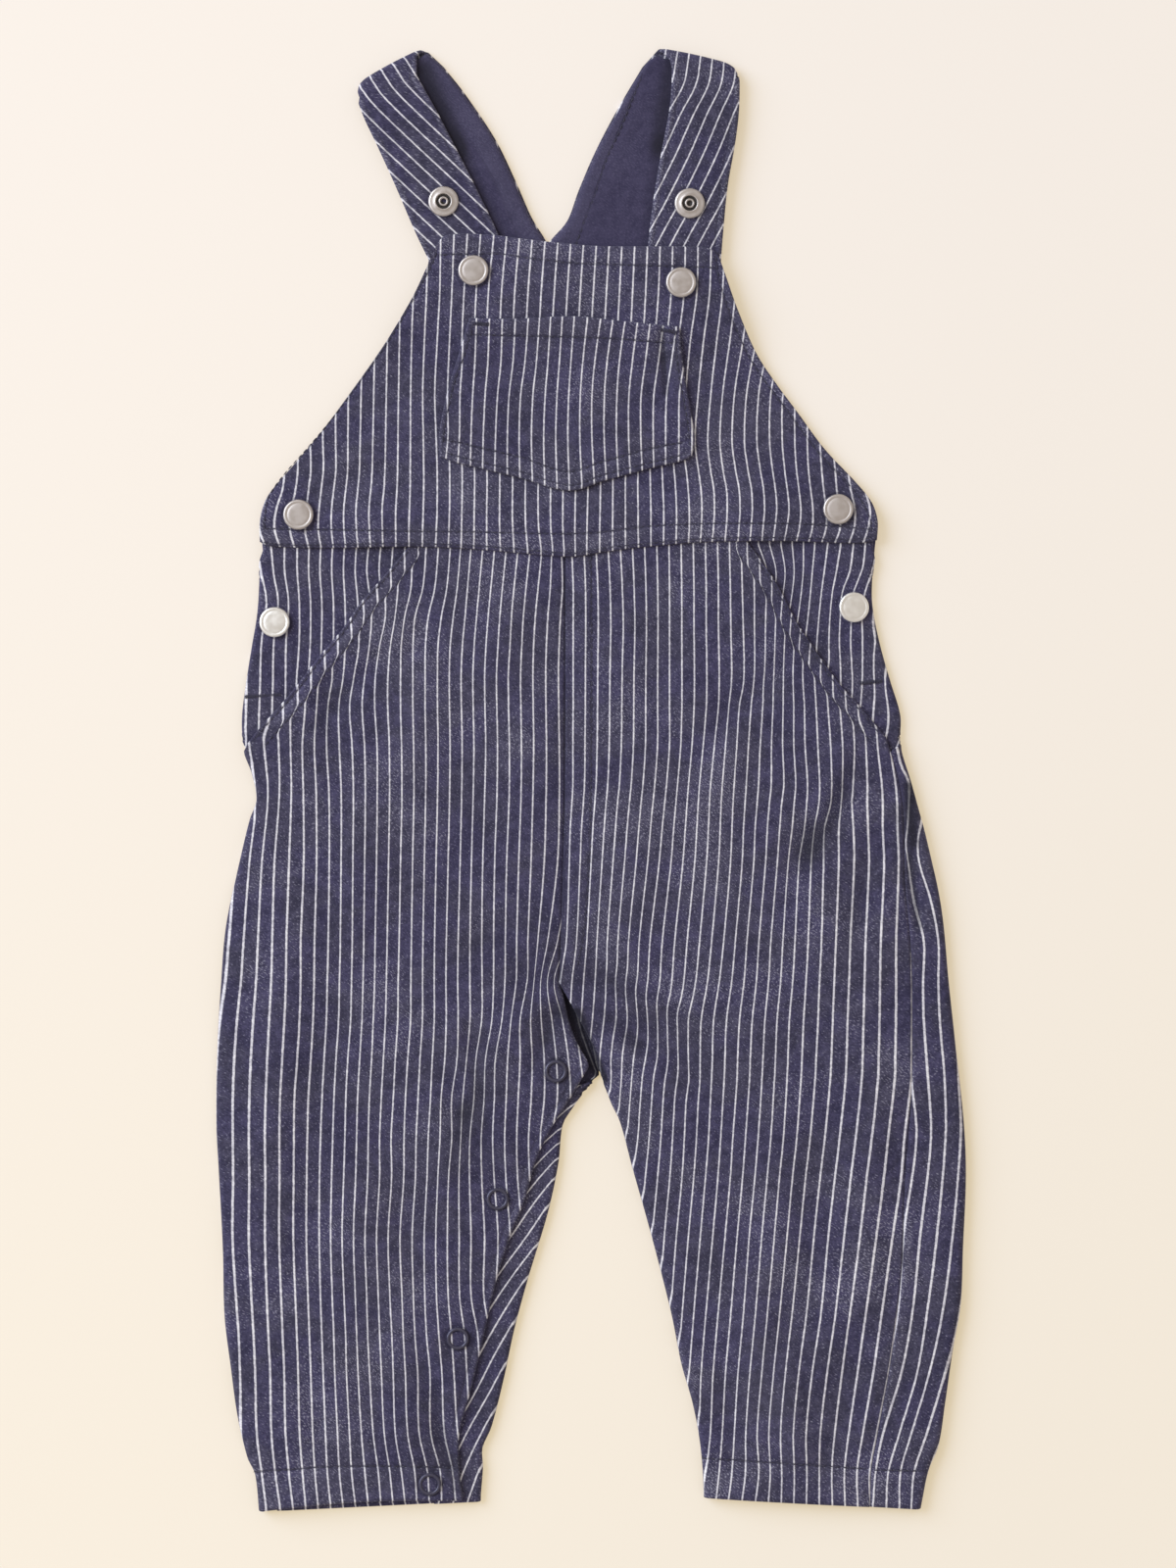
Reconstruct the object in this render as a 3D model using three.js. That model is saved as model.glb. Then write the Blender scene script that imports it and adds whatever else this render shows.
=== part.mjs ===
// Baby dungarees laid flat on their back: striped cloth panels, a bib with a pocket, and snap fastened straps.
// Millimetres, with +X to the right as seen from above, +Y towards the shoulders and +Z up.
// The origin is on the surface that the garment lies on, under the middle of its outline.
// "Left" and "right" are as seen from above. Every panel is a thin closed wall round its own middle layer.

import * as THREE from 'three';

// Driving sizes
const CLOTH = 1.2;
const LINING = 1.0;
const SEAM_GAP = 0.3;
const LAID_GAP = 0.45;

// Heights of the layers: the outer diameter of each kind of turned edge
const FRONT_FOLD = 4.6;
const TUCKED_FOLD = 3.0;
const STRAP_FOLD = 4.1;
const STRAP_MIDDLE = STRAP_FOLD - CLOTH / 2;
const LINING_MIDDLE = CLOTH + SEAM_GAP + LINING / 2;

// How far a front or hip panel reaches round its fold and under the garment
const UNDER_TAIL = 6.3;
const UNDER_GAP = 0.5;
const SLANT_LAP = 10;
const FRONT_CROWN = 0.8;
const CROWN_RISE = 22;
const HEM_BAND = 0.35;
const HEM_DEPTH = 13.5;

// Snaps: fronts of the strap and hip snaps, their sockets, and the ring snaps of the leg opening
const CAP_RADIUS = 5.6;
const CAP_HEIGHT = 1.7;
const RING_RADIUS = 4.1;
const RING_HEIGHT = 0.9;
const CAP_SIDES = 16;
const RING_SIDES = 14;

const CLOTH_LOOK = { color: '#4e4b61', roughness: 0.9, metalness: 0 };
const LINING_LOOK = { color: '#45405d', roughness: 0.85, metalness: 0 };
const NICKEL_LOOK = { color: '#b3aba6', roughness: 0.35, metalness: 1 };
const ENAMEL_LOOK = { color: '#2f2d40', roughness: 0.45, metalness: 0.1 };

const table = (columns, rows) => rows.map((row) => Object.fromEntries(columns.map((name, k) => [name, row[k]])));
const mix = (a, b, t) => a + (b - a) * t;
const smooth = (value) => THREE.MathUtils.smoothstep(value, 0, 1);

// Outline curves of the trousers, each an x for every y from the waist down to the hem

const LEFT_SIDE = table(['y', 'x'], [
  [92, -120.4], [80, -121.5], [61, -122.6], [48, -124.7], [34, -126.9], [21, -128.3], [10, -127.3],
  [1, -124.4], [-8, -122.9], [-15, -125.3], [-29, -128.7], [-54, -134.0], [-76, -135.9], [-101, -137.3],
  [-128, -137.6], [-144, -136.7], [-173, -135.2], [-197, -134.6], [-216, -132.3], [-234, -129.8],
  [-249, -126.2], [-255, -123.4], [-268.6, -121.9],
]);
const RIGHT_SIDE = table(['y', 'x'], [
  [92, 103.4], [84, 104.2], [75, 103.2], [64, 103.1], [50, 105.7], [36, 109.6], [23, 113.4], [12, 113.4],
  [-1, 117.2], [-10, 119.7], [-22, 122.9], [-47, 128.3], [-76, 131.2], [-99, 133.7], [-126, 136.6],
  [-146, 137.4], [-173, 136.3], [-193, 135.5], [-209, 132.7], [-229, 129.8], [-245, 127.3],
  [-254, 123.7], [-268, 120.8],
]);
const LEFT_SLANT = table(['y', 'x'], [
  [92, -62.0], [84, -67.5], [73, -76.7], [65, -83.8], [55, -90.7], [44, -100.0], [31, -110.1],
  [19, -120.7], [13, -125.5], [10, -127.3],
]);
const RIGHT_SLANT = table(['y', 'x'], [
  [92, 52.3], [85, 58.2], [71, 68.0], [58, 74.7], [48, 81.2], [34, 91.3], [26, 98.5], [15, 107.8],
]);
const RIGHT_SIDE_SEAM = table(['y', 'x'], [
  [15, 107.8], [1, 112.1], [-13, 114.3], [-39, 114.9], [-60, 116.8], [-75, 117.4], [-110, 117.4],
  [-125, 116.6], [-146, 114.8], [-179, 113.7], [-211, 110.0], [-243, 104.3], [-254, 102.5], [-268, 102.1],
]);
const FRONT_CENTRE = table(['y', 'x'], [
  [92, -9.5], [0, -9.6], [-40, -10.5], [-75, -11.7],
]);
const BACK_CENTRE = table(['y', 'x'], [
  [92, -15.0], [0, -12.0], [-60, -8.5], [-90, -3.5], [-109, 3.1],
]);
const LEFT_PLACKET = table(['y', 'x'], [
  [-75, -11.7], [-88, -8.0], [-98, -2.8], [-105, -0.4], [-109, -2.8], [-118, -8.3], [-126, -13.5],
  [-139, -20.0], [-155, -24.7], [-168, -30.0], [-189, -36.2], [-207, -40.1], [-225, -44.5],
  [-238, -48.1], [-245, -48.8], [-261, -48.1], [-266, -47.3],
]);
const RIGHT_CLEFT = table(['y', 'x'], [
  [-75, -11.7], [-81, -8.3], [-88, -4.8], [-94, -2.0], [-101, 0.9], [-109, 3.6],
]);
const LEFT_INSEAM = table(['y', 'x'], [
  [-109, 2.6], [-116, -3.1], [-121, -6.7], [-127, -10.3], [-141, -11.9], [-159, -15.7], [-184, -23.2],
  [-203, -28.3], [-220, -31.9], [-238, -36.5], [-246, -39.8], [-254, -39.6], [-266, -40.4],
]);
const RIGHT_INSEAM = table(['y', 'x'], [
  [-109, 3.6], [-119, 7.0], [-126, 10.3], [-143, 14.9], [-161, 20.0], [-177, 24.3], [-197, 29.3],
  [-215, 32.9], [-229, 36.9], [-242, 39.4], [-254, 40.5], [-266, 41.0],
]);

// A smooth curve through a table's rows, read at any height y
function atHeight(rows) {
  const slopeBetween = (a, b) => (b.x - a.x) / (b.y - a.y);
  const slopes = rows.map((row, k) => slopeBetween(rows[Math.max(k - 1, 0)], rows[Math.min(k + 1, rows.length - 1)]));
  return (y) => {
    let k = rows.findIndex((row) => row.y <= y);
    k = k < 0 ? rows.length - 1 : Math.max(k, 1);
    const upper = rows[k - 1];
    const lower = rows[k];
    const span = lower.y - upper.y;
    const t = THREE.MathUtils.clamp((y - upper.y) / span, 0, 1);
    const t2 = t * t;
    const t3 = t2 * t;
    return (2 * t3 - 3 * t2 + 1) * upper.x + (t3 - 2 * t2 + t) * span * slopes[k - 1]
      + (3 * t2 - 2 * t3) * lower.x + (t3 - t2) * span * slopes[k];
  };
}

const leftSide = atHeight(LEFT_SIDE);
const rightSide = atHeight(RIGHT_SIDE);
const leftSlant = atHeight(LEFT_SLANT);
const rightSlant = atHeight(RIGHT_SLANT);
const rightSideSeam = atHeight(RIGHT_SIDE_SEAM);
const frontCentre = atHeight(FRONT_CENTRE);
const backCentre = atHeight(BACK_CENTRE);
const leftPlacket = atHeight(LEFT_PLACKET);
const rightCleft = atHeight(RIGHT_CLEFT);
const leftInseam = atHeight(LEFT_INSEAM);
const rightInseam = atHeight(RIGHT_INSEAM);

// The largest soft creases of the fronts, each along a line, with its half width and its depth
const CREASES = table(['fromX', 'fromY', 'toX', 'toY', 'width', 'depth'], [
  [-46, -99, -37, -142, 9, -0.75],
  [-68, -158, -64, -182, 8, -0.45],
  [-97, 36, -95, 10, 8, -0.55],
  [-62, 40, -70, 5, 9, 0.45],
  [62, 42, 48, 22, 8, -0.55],
  [93, 0, 81, -26, 8, -0.7],
  [2, -72, 36, -93, 9, -0.7],
  [-40, -60, -14, -72, 8, -0.5],
  [-62, -216, -50, -250, 8, -0.45],
  [58, -190, 64, -236, 10, 0.45],
]);

function creaseHeight(x, y) {
  return CREASES.reduce((height, crease) => {
    const alongX = crease.toX - crease.fromX;
    const alongY = crease.toY - crease.fromY;
    const t = ((x - crease.fromX) * alongX + (y - crease.fromY) * alongY) / (alongX ** 2 + alongY ** 2);
    const nearest = THREE.MathUtils.clamp(t, 0, 1);
    const away = Math.hypot(x - crease.fromX - nearest * alongX, y - crease.fromY - nearest * alongY);
    return height + crease.depth * Math.exp(-((away / crease.width) ** 2));
  }, 0);
}

// Walls

// A closed wall round a grid of middle points, each with its normal and its thickness
function wallGeometry(grid) {
  const rows = grid.length;
  const columns = grid[0].length;
  const positions = [];
  for (const side of [0.5, -0.5]) {
    for (const row of grid) {
      for (const { point, normal, thickness } of row) {
        positions.push(...point.clone().addScaledVector(normal, side * thickness).toArray());
      }
    }
  }
  const outer = (i, j) => i * columns + j;
  const inner = (i, j) => rows * columns + outer(i, j);
  const faces = [];
  const quad = (a, b, c, d) => faces.push(a, b, c, a, c, d);
  for (let i = 0; i < rows - 1; i += 1) {
    for (let j = 0; j < columns - 1; j += 1) {
      quad(outer(i, j), outer(i + 1, j), outer(i + 1, j + 1), outer(i, j + 1));
      quad(inner(i, j), inner(i, j + 1), inner(i + 1, j + 1), inner(i + 1, j));
    }
  }
  for (let i = 0; i < rows - 1; i += 1) {
    quad(outer(i, 0), inner(i, 0), inner(i + 1, 0), outer(i + 1, 0));
    quad(outer(i, columns - 1), outer(i + 1, columns - 1), inner(i + 1, columns - 1), inner(i, columns - 1));
  }
  for (let j = 0; j < columns - 1; j += 1) {
    quad(outer(0, j), outer(0, j + 1), inner(0, j + 1), inner(0, j));
    quad(outer(rows - 1, j), inner(rows - 1, j), inner(rows - 1, j + 1), outer(rows - 1, j + 1));
  }
  return outwardGeometry(positions, faces);
}

// Turns the faces over if they enclose a negative volume, so that they point out
function outwardGeometry(positions, faces) {
  const corner = (index) => new THREE.Vector3().fromArray(positions, index * 3);
  let volume = 0;
  for (let k = 0; k < faces.length; k += 3) {
    volume += corner(faces[k]).dot(corner(faces[k + 1]).cross(corner(faces[k + 2])));
  }
  const geometry = new THREE.BufferGeometry();
  geometry.setAttribute('position', new THREE.Float32BufferAttribute(positions, 3));
  geometry.setIndex(volume > 0 ? faces : faces.reverse());
  geometry.computeVertexNormals();
  return geometry;
}

// A panel whose one side turns round a fold and on to the other layer.
// Each row runs from its fold edge to its free edge. "turn" goes from 0, a free edge, to 1, fully turned,
// and "tail" is how wide the turned part lies on the other layer.
const ARC_STEPS = [-1, -0.5, 0, 0.5, 1];
const ANCHOR = 6;

// Puts the origin under the middle of the outline
const CENTRING = { x: 0.145, y: 0.42 };

function turnedPanel({ rows, fold, upside, tailColumns, mainColumns, lift = () => 0 }) {
  const radius = (fold - CLOTH) / 2;
  const quarter = (Math.PI * radius) / 2;
  const reach = radius + CLOTH / 2;
  const grid = rows.map((row) => {
    const width = row.freeX - row.foldX;
    const toFree = Math.sign(width);
    const whole = -(quarter + row.tail - reach);
    const start = mix(quarter, whole, row.turn);
    const anchor = quarter + ANCHOR;
    const stations = [];
    for (let k = 0; k < tailColumns; k += 1) stations.push(mix(whole, -quarter, k / tailColumns));
    for (const step of ARC_STEPS) stations.push(step * quarter);
    const squeezed = stations.map((q) => start + ((q - whole) * (anchor - start)) / (anchor - whole));
    const anchorAcross = reach * row.turn + ANCHOR;
    for (let k = 0; k <= mainColumns; k += 1) {
      squeezed.push(anchor + mix(0, Math.abs(width) - anchorAcross, k / mainColumns));
    }
    return squeezed.map((q) => {
      const angle = THREE.MathUtils.clamp(q, -quarter, quarter) / radius;
      const beyond = Math.max(Math.abs(q) - quarter, 0);
      const across = (reach - radius * Math.cos(angle)) * row.turn + beyond;
      const layer = upside ? 1 : -1;
      const t = across / Math.abs(width);
      const x = row.foldX + toFree * across;
      const y = mix(row.foldY, row.freeY, t);
      const raised = q > quarter ? lift(x, y, across, Math.abs(width)) : 0;
      const z = fold / 2 + layer * radius * Math.sin(angle) + raised;
      const normal = new THREE.Vector3(-toFree * Math.cos(angle) * row.turn, 0, layer * Math.sin(angle));
      if (normal.lengthSq() < 1e-6) normal.set(0, 0, layer);
      return { point: new THREE.Vector3(x, y, z), normal: normal.normalize(), thickness: CLOTH };
    });
  });
  return wallGeometry(grid);
}

// Heights of the rows down the trousers, closer together at the hips, the crotch and the hem
const FRONT_HEIGHTS = [
  91.5, 82, 72, 61, 50, 39, 28, 19, 13, 6, -1, -8, -16, -30, -46, -62, -75, -82, -90, -98, -104, -109,
  -113, -118, -126, -138, -152, -166, -182, -198, -216, -234, -247, -253.5, -255, -261, -268,
];
const BACK_HEIGHTS = [
  81.3, 73, 62, 48, 34, 22, 14.6, 11.5, 6, -1, -8, -16, -30, -46, -62, -84, -98, -106, -109, -113, -118, -126, -140,
  -158, -178, -198, -216, -234, -248, -255, -261, -268,
];
const HEM_HEIGHT = -268;
const hemRise = (y, amount) => amount * smooth((-240 - y) / (-240 - HEM_HEIGHT));

// The soft rise of a front between its edges, with its creases and the turned hem's double cloth
function frontLift(x, y, across, width) {
  const inFromEdges = Math.min(across, width - across);
  const rise = smooth(inFromEdges / CROWN_RISE);
  const waistFlat = smooth((80 - y) / 25);
  const hem = HEM_BAND * smooth((HEM_HEIGHT + HEM_DEPTH - y) / 1.4) * smooth(inFromEdges / 3);
  return FRONT_CROWN * rise * waistFlat + creaseHeight(x, y) * smooth(inFromEdges / 12) * waistFlat + hem;
}

const turnBetween = (y, from, to) => smooth((from - y) / (from - to));

function frontLeft() {
  const rows = FRONT_HEIGHTS.map((y) => ({
    foldX: y > 10 ? leftSlant(y) : leftSide(y),
    foldY: y - hemRise(y, 0.6),
    freeX: (y > -75 ? frontCentre(y) : leftPlacket(y)) - SEAM_GAP / 2,
    freeY: y + hemRise(y, 1.8),
    turn: turnBetween(y, 13, 2),
    tail: UNDER_TAIL,
  }));
  return turnedPanel({ rows, fold: FRONT_FOLD, upside: true, tailColumns: 1, mainColumns: 7, lift: frontLift });
}

function frontRight() {
  const rows = FRONT_HEIGHTS.map((y) => {
    const upper = y > -75 ? frontCentre(y) : rightCleft(y);
    return {
      foldX: (y > -109 ? upper : rightInseam(y)) + SEAM_GAP / 2,
      foldY: y + hemRise(y, 4.5),
      freeX: (y > 15 ? rightSlant(y) : rightSideSeam(y)) - SEAM_GAP / 2,
      freeY: y + hemRise(y, 1.2),
      turn: turnBetween(y, -108, -118),
      tail: UNDER_TAIL,
    };
  });
  return turnedPanel({ rows, fold: FRONT_FOLD, upside: true, tailColumns: 1, mainColumns: 7, lift: frontLift });
}

// Width of the back leg that shows beside the front of the left leg, and laps under its placket
const STRIP_WIDTH = 17;
const underEnd = UNDER_TAIL + UNDER_GAP;

function backLeft() {
  const rows = BACK_HEIGHTS.map((y) => {
    const split = y < -108;
    return {
      foldX: (split ? leftInseam(y) : backCentre(y)) - SEAM_GAP / 2,
      foldY: y + hemRise(y, 2),
      freeX: leftSide(y) + underEnd,
      freeY: y - hemRise(y, 0.4),
      turn: turnBetween(y, -109, -118),
      tail: STRIP_WIDTH,
    };
  });
  return turnedPanel({ rows, fold: TUCKED_FOLD, upside: false, tailColumns: 3, mainColumns: 4 });
}

function backRight() {
  const rows = BACK_HEIGHTS.map((y) => {
    const turn = turnBetween(y, 12, 5);
    const inset = mix(underEnd, 0, smooth((14.6 - y) / 3));
    const clear = underEnd * smooth((-107 - y) / 6);
    return {
      foldX: rightSide(y) - inset,
      foldY: y + hemRise(y, 0.2),
      freeX: (y > -109 ? backCentre(y) : rightInseam(y)) + SEAM_GAP / 2 + clear,
      freeY: y + hemRise(y, 4.5),
      turn,
      tail: Math.max(rightSide(y) - rightSideSeam(y) - SEAM_GAP / 2, FRONT_FOLD / 2 + 0.3),
    };
  });
  return turnedPanel({ rows, fold: FRONT_FOLD, upside: false, tailColumns: 3, mainColumns: 4 });
}

// Hip panels: the cloth that shows outboard of the slanted pocket edges, tucked under the fronts and the bib
const HIP_HEIGHTS = [91.5, 85, 79, 76, 72, 62, 52, 42, 32, 22, 16.6];

function hipPanel(side, slant, sign) {
  const rows = HIP_HEIGHTS.map((y) => ({
    foldX: side(y) - sign * mix(1.2, 0, smooth((85 - y) / 6)),
    foldY: y,
    freeX: slant(y) - sign * SLANT_LAP,
    freeY: y - 1.5,
    turn: turnBetween(y, 79, 72),
    tail: UNDER_TAIL,
  }));
  return turnedPanel({ rows, fold: TUCKED_FOLD, upside: true, tailColumns: 1, mainColumns: 3 });
}

// Bib and pocket

const BIB_REST = CLOTH + LAID_GAP + CLOTH / 2;
const BIB_OVER_STRAPS = STRAP_FOLD + LAID_GAP + CLOTH / 2;
const BIB_OVER_FRONTS = FRONT_FOLD + LAID_GAP + CLOTH / 2;
const BIB_OVER_HIPS = TUCKED_FOLD + LAID_GAP + CLOTH / 2;
const BIB_CROWN = 0.5;

const spline = (rows, tension = 0.5) => new THREE.CatmullRomCurve3(
  rows.map(({ x, y }) => new THREE.Vector3(x, y, 0)), false, 'catmullrom', tension,
);

const BIB_EDGES = {
  top: spline(table(['x', 'y'], [
    [-57.6, 192.5], [-55.8, 196.6], [-51.4, 198.9], [-37, 198.7], [-23, 197], [-8, 195.4], [6, 194.5],
    [35, 194.4], [44, 193.4], [46.8, 190.6],
  ])),
  bottom: spline(table(['x', 'y'], [
    [-121.3, 86.8], [-116.5, 85.2], [-95, 84.6], [-66, 85], [-44, 84.2], [-23, 82.4], [-7, 81.4], [6, 83.3],
    [20, 85], [42, 86.7], [71, 87.1], [96, 86.4], [104.4, 87.4],
  ])),
  left: spline(table(['x', 'y'], [
    [-57.6, 192.5], [-60.3, 187], [-66.1, 175], [-75.1, 160], [-87, 143], [-98.5, 127.4], [-107.5, 116.6],
    [-115.6, 107.2], [-119.4, 101.5], [-121.3, 94], [-121.3, 86.8],
  ])),
  right: spline(table(['x', 'y'], [
    [46.8, 190.6], [49.1, 184], [53.5, 171.4], [59.9, 156.6], [67.1, 145.4], [75.1, 134.6], [85.1, 121],
    [95.9, 109.4], [102.2, 101.6], [104.6, 94.5], [104.4, 87.4],
  ])),
};

const POCKET_EDGES = {
  top: spline(table(['x', 'y'], [
    [-44.5, 168.1], [-28, 167.8], [-6.7, 168.7], [12.8, 166.8], [31.9, 165],
  ])),
  bottom: spline(table(['x', 'y'], [
    [-55.4, 118.2], [-50, 116], [-44.5, 114.7], [-26.5, 110.3], [-8.5, 105.5], [5.2, 109.3], [23.2, 114.1],
    [33, 116.4], [36.6, 118.2],
  ])),
  left: spline(table(['x', 'y'], [
    [-44.5, 168.1], [-48.1, 156], [-52, 143.5], [-55.3, 128], [-55.4, 118.2],
  ])),
  right: spline(table(['x', 'y'], [
    [31.9, 165], [33.7, 149], [36.3, 133.5], [37.6, 124], [36.6, 118.2],
  ])),
};

// A point of the patch between four edges, with u from left to right and v from top to bottom
function patchPoint(edges, u, v) {
  const top = edges.top.getPointAt(u);
  const bottom = edges.bottom.getPointAt(u);
  const left = edges.left.getPointAt(v);
  const right = edges.right.getPointAt(v);
  const corners = [edges.top.getPoint(0), edges.top.getPoint(1), edges.bottom.getPoint(0), edges.bottom.getPoint(1)];
  const blend = (axis) => mix(top[axis], bottom[axis], v) + mix(left[axis], right[axis], u)
    - mix(mix(corners[0][axis], corners[1][axis], u), mix(corners[2][axis], corners[3][axis], u), v);
  return new THREE.Vector3(blend('x'), blend('y'), 0);
}

// Height of the bib's middle layer: it lies on the back, and rides up over the straps and the trousers
function bibHeight(x, y) {
  const overStraps = smooth((y - 148) / 26) * (BIB_OVER_STRAPS - BIB_REST);
  const fromCentre = Math.abs(x + 5);
  const waist = mix(BIB_OVER_FRONTS, BIB_OVER_HIPS, smooth((fromCentre - 70) / 28));
  const overWaist = smooth((116 - y) / 24) * (waist - BIB_REST);
  const crown = BIB_CROWN * smooth((80 - fromCentre) / 50) * smooth((y - 92) / 20) * smooth((176 - y) / 20);
  return BIB_REST + overStraps + overWaist + crown;
}

function patchPanel(edges, rows, columns, height) {
  const grid = [];
  for (let i = 0; i <= rows; i += 1) {
    const row = [];
    for (let j = 0; j <= columns; j += 1) {
      const point = patchPoint(edges, j / columns, i / rows);
      point.z = height(point.x, point.y);
      row.push({ point, normal: new THREE.Vector3(0, 0, 1), thickness: CLOTH });
    }
    grid.push(row);
  }
  return wallGeometry(grid);
}

const pocketHeight = (x, y) => bibHeight(x, y) + CLOTH + LAID_GAP;

// Back halves: each runs from the waist up to its arm, round the shoulder fold and down the front as the strap

const LEFT_BACK = {
  back: table(['outerX', 'outerY', 'innerX', 'innerY'], [
    [-120.3, 81.6], [-120.4, 95], [-113.5, 105.5], [-97.5, 124.5], [-83.5, 144], [-71, 162], [-63, 177],
    [-60.6, 185], [-59.5, 190], [-58.5, 201], [-60.5, 213], [-65.5, 227], [-73.5, 240.5], [-81, 249.5],
  ].map((row, k) => [...row, ...[
    [-14.9, 81.6], [-15.2, 95], [-15.5, 108], [-15.7, 128], [-15.9, 148], [-16, 168], [-16.2, 182],
    [-16.3, 190], [-16.6, 196.3], [-22.3, 206], [-28.2, 219.4], [-35.6, 234.6], [-46.3, 250.6], [-54.5, 261],
  ][k]])),
  fold: { backOuter: [-86.0, 252.6], backInner: [-60.2, 266.6], frontOuter: [-86.1, 252.4], frontInner: [-64.4, 264.4] },
  front: table(['outerX', 'outerY', 'innerX', 'innerY'], [
    [-86.0, 248.5, -64.3, 257.6], [-83.0, 241.5, -58.2, 246.8], [-78.3, 232, -51.7, 234.4],
    [-71.5, 217, -43.6, 218.6], [-64.3, 200.2, -34.6, 199.8], [-58.6, 188.2, -30.6, 188],
    [-54.6, 177.8, -28.2, 178.4],
  ]),
  up: [-0.4, 0.916],
};
const RIGHT_BACK = {
  back: table(['outerX', 'outerY', 'innerX', 'innerY'], [
    [103.6, 81.6], [103.8, 94.5], [96.5, 106], [79.5, 125], [66, 143.5], [56.5, 159], [50.5, 175],
    [48.2, 184], [47, 190], [44, 202], [41.5, 214], [42, 229], [45.5, 243], [50, 254],
  ].map((row, k) => [...row, ...[
    [-14.6, 81.6], [-14.9, 95], [-15.2, 108], [-15.4, 128], [-15.6, 148], [-15.7, 168], [-15.7, 182],
    [-15.6, 190], [-15.4, 196.3], [-8.6, 204.6], [-4.3, 216], [1.6, 230.8], [8.9, 246.2], [18, 261.4],
  ][k]])),
  fold: { backOuter: [53.4, 259.4], backInner: [22.8, 265.6], frontOuter: [53.8, 259.2], frontInner: [30.6, 265.8] },
  front: table(['outerX', 'outerY', 'innerX', 'innerY'], [
    [54.3, 253.5, 30.4, 258.6], [53.7, 243, 29, 246], [52.3, 232, 26.6, 233], [49.7, 217, 23.8, 217.4],
    [48.1, 201, 21.5, 200.4], [47.1, 188, 20.7, 187.8], [46.2, 174.6, 20.2, 174.8],
  ]),
  up: [0.1, 0.995],
};
const STRAP_COLUMNS = 5;
const FOLD_STEPS = 6;
const REFINE = 2;

// Adds rows between the rows of a table, on smooth curves through its edge points
function refineRows(rows) {
  const outer = spline(rows.map((row) => ({ x: row.outerX, y: row.outerY })));
  const inner = spline(rows.map((row) => ({ x: row.innerX, y: row.innerY })));
  const count = (rows.length - 1) * REFINE;
  return Array.from({ length: count + 1 }, (unused, k) => ({
    outer: outer.getPoint(k / count),
    inner: inner.getPoint(k / count),
  }));
}

function acrossRow({ outer, inner }, z, normal, thickness, columns = STRAP_COLUMNS) {
  return Array.from({ length: columns + 1 }, (unused, k) => {
    const point = outer.clone().lerp(inner, k / columns);
    point.z += z;
    return { point, normal, thickness };
  });
}

function backHalf({ back, fold, front, up }) {
  const grid = refineRows(back).map((row) => acrossRow(row, CLOTH / 2, new THREE.Vector3(0, 0, -1), CLOTH));
  const radius = (STRAP_FOLD - CLOTH) / 2;
  const flat = ([x, y]) => new THREE.Vector3(x, y, 0);
  for (let k = 0; k <= FOLD_STEPS; k += 1) {
    const t = k / FOLD_STEPS;
    const angle = mix(-Math.PI / 2, Math.PI / 2, t);
    const ahead = new THREE.Vector3(up[0], up[1], 0).multiplyScalar(radius * Math.cos(angle));
    const row = {
      outer: flat(fold.backOuter).lerp(flat(fold.frontOuter), t).add(ahead),
      inner: flat(fold.backInner).lerp(flat(fold.frontInner), t).add(ahead),
    };
    const normal = new THREE.Vector3(up[0] * Math.cos(angle), up[1] * Math.cos(angle), Math.sin(angle)).normalize();
    grid.push(acrossRow(row, STRAP_FOLD / 2 + radius * Math.sin(angle), normal, CLOTH));
  }
  for (const row of refineRows(front)) {
    grid.push(acrossRow(row, STRAP_MIDDLE, new THREE.Vector3(0, 0, 1), CLOTH));
  }
  return wallGeometry(grid);
}

// The plain lining that faces each arm of the back, cut a little inside it and ending before the shoulder fold
const LINING_INSET = 0.7;
const NECK_ROW = 8;
const LINING_ROWS_BELOW_NECK = 2;
const LINING_COLUMNS = 2;
const LINING_FOLD_CLEAR = 1.6;

function armLining({ back, fold, up }) {
  const firstRow = NECK_ROW - LINING_ROWS_BELOW_NECK;
  const end = {
    outerX: fold.backOuter[0] - up[0] * LINING_FOLD_CLEAR,
    outerY: fold.backOuter[1] - up[1] * LINING_FOLD_CLEAR,
    innerX: fold.backInner[0] - up[0] * LINING_FOLD_CLEAR,
    innerY: fold.backInner[1] - up[1] * LINING_FOLD_CLEAR,
  };
  const grid = refineRows([...back.slice(firstRow), end]).map((row) => {
    const inward = row.inner.clone().sub(row.outer).setLength(LINING_INSET);
    const inset = { outer: row.outer.clone().add(inward), inner: row.inner.clone().sub(inward) };
    return acrossRow(inset, LINING_MIDDLE, new THREE.Vector3(0, 0, 1), LINING, LINING_COLUMNS);
  });
  return wallGeometry(grid);
}

// Snaps, turned about their axis from a profile of radius and height

const CAP_PROFILE = table(['radius', 'height'], [
  [0, 0], [4.9, 0], [CAP_RADIUS, 0.45], [CAP_RADIUS, 0.9], [5.1, 1.35], [4.4, 1.4], [2.6, 1.62], [0, CAP_HEIGHT],
]);
const SOCKET_PROFILE = table(['radius', 'height'], [
  [1.3, 0], [5.0, 0], [CAP_RADIUS, 0.4], [5.4, 0.95], [4.6, 1.2], [3.7, 0.75], [3.0, 1.25], [2.2, 0.7], [1.3, 0.6],
  [1.3, 0],
]);
const RING_PROFILE = table(['radius', 'height'], [
  [2.7, 0], [3.8, 0], [RING_RADIUS, 0.4], [3.7, RING_HEIGHT], [3.0, RING_HEIGHT], [2.7, 0.4], [2.7, 0],
]);

function turned(profile, sides) {
  const points = profile.map(({ radius, height }) => new THREE.Vector2(radius, height));
  return new THREE.LatheGeometry(points, sides).rotateX(Math.PI / 2);
}

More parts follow.
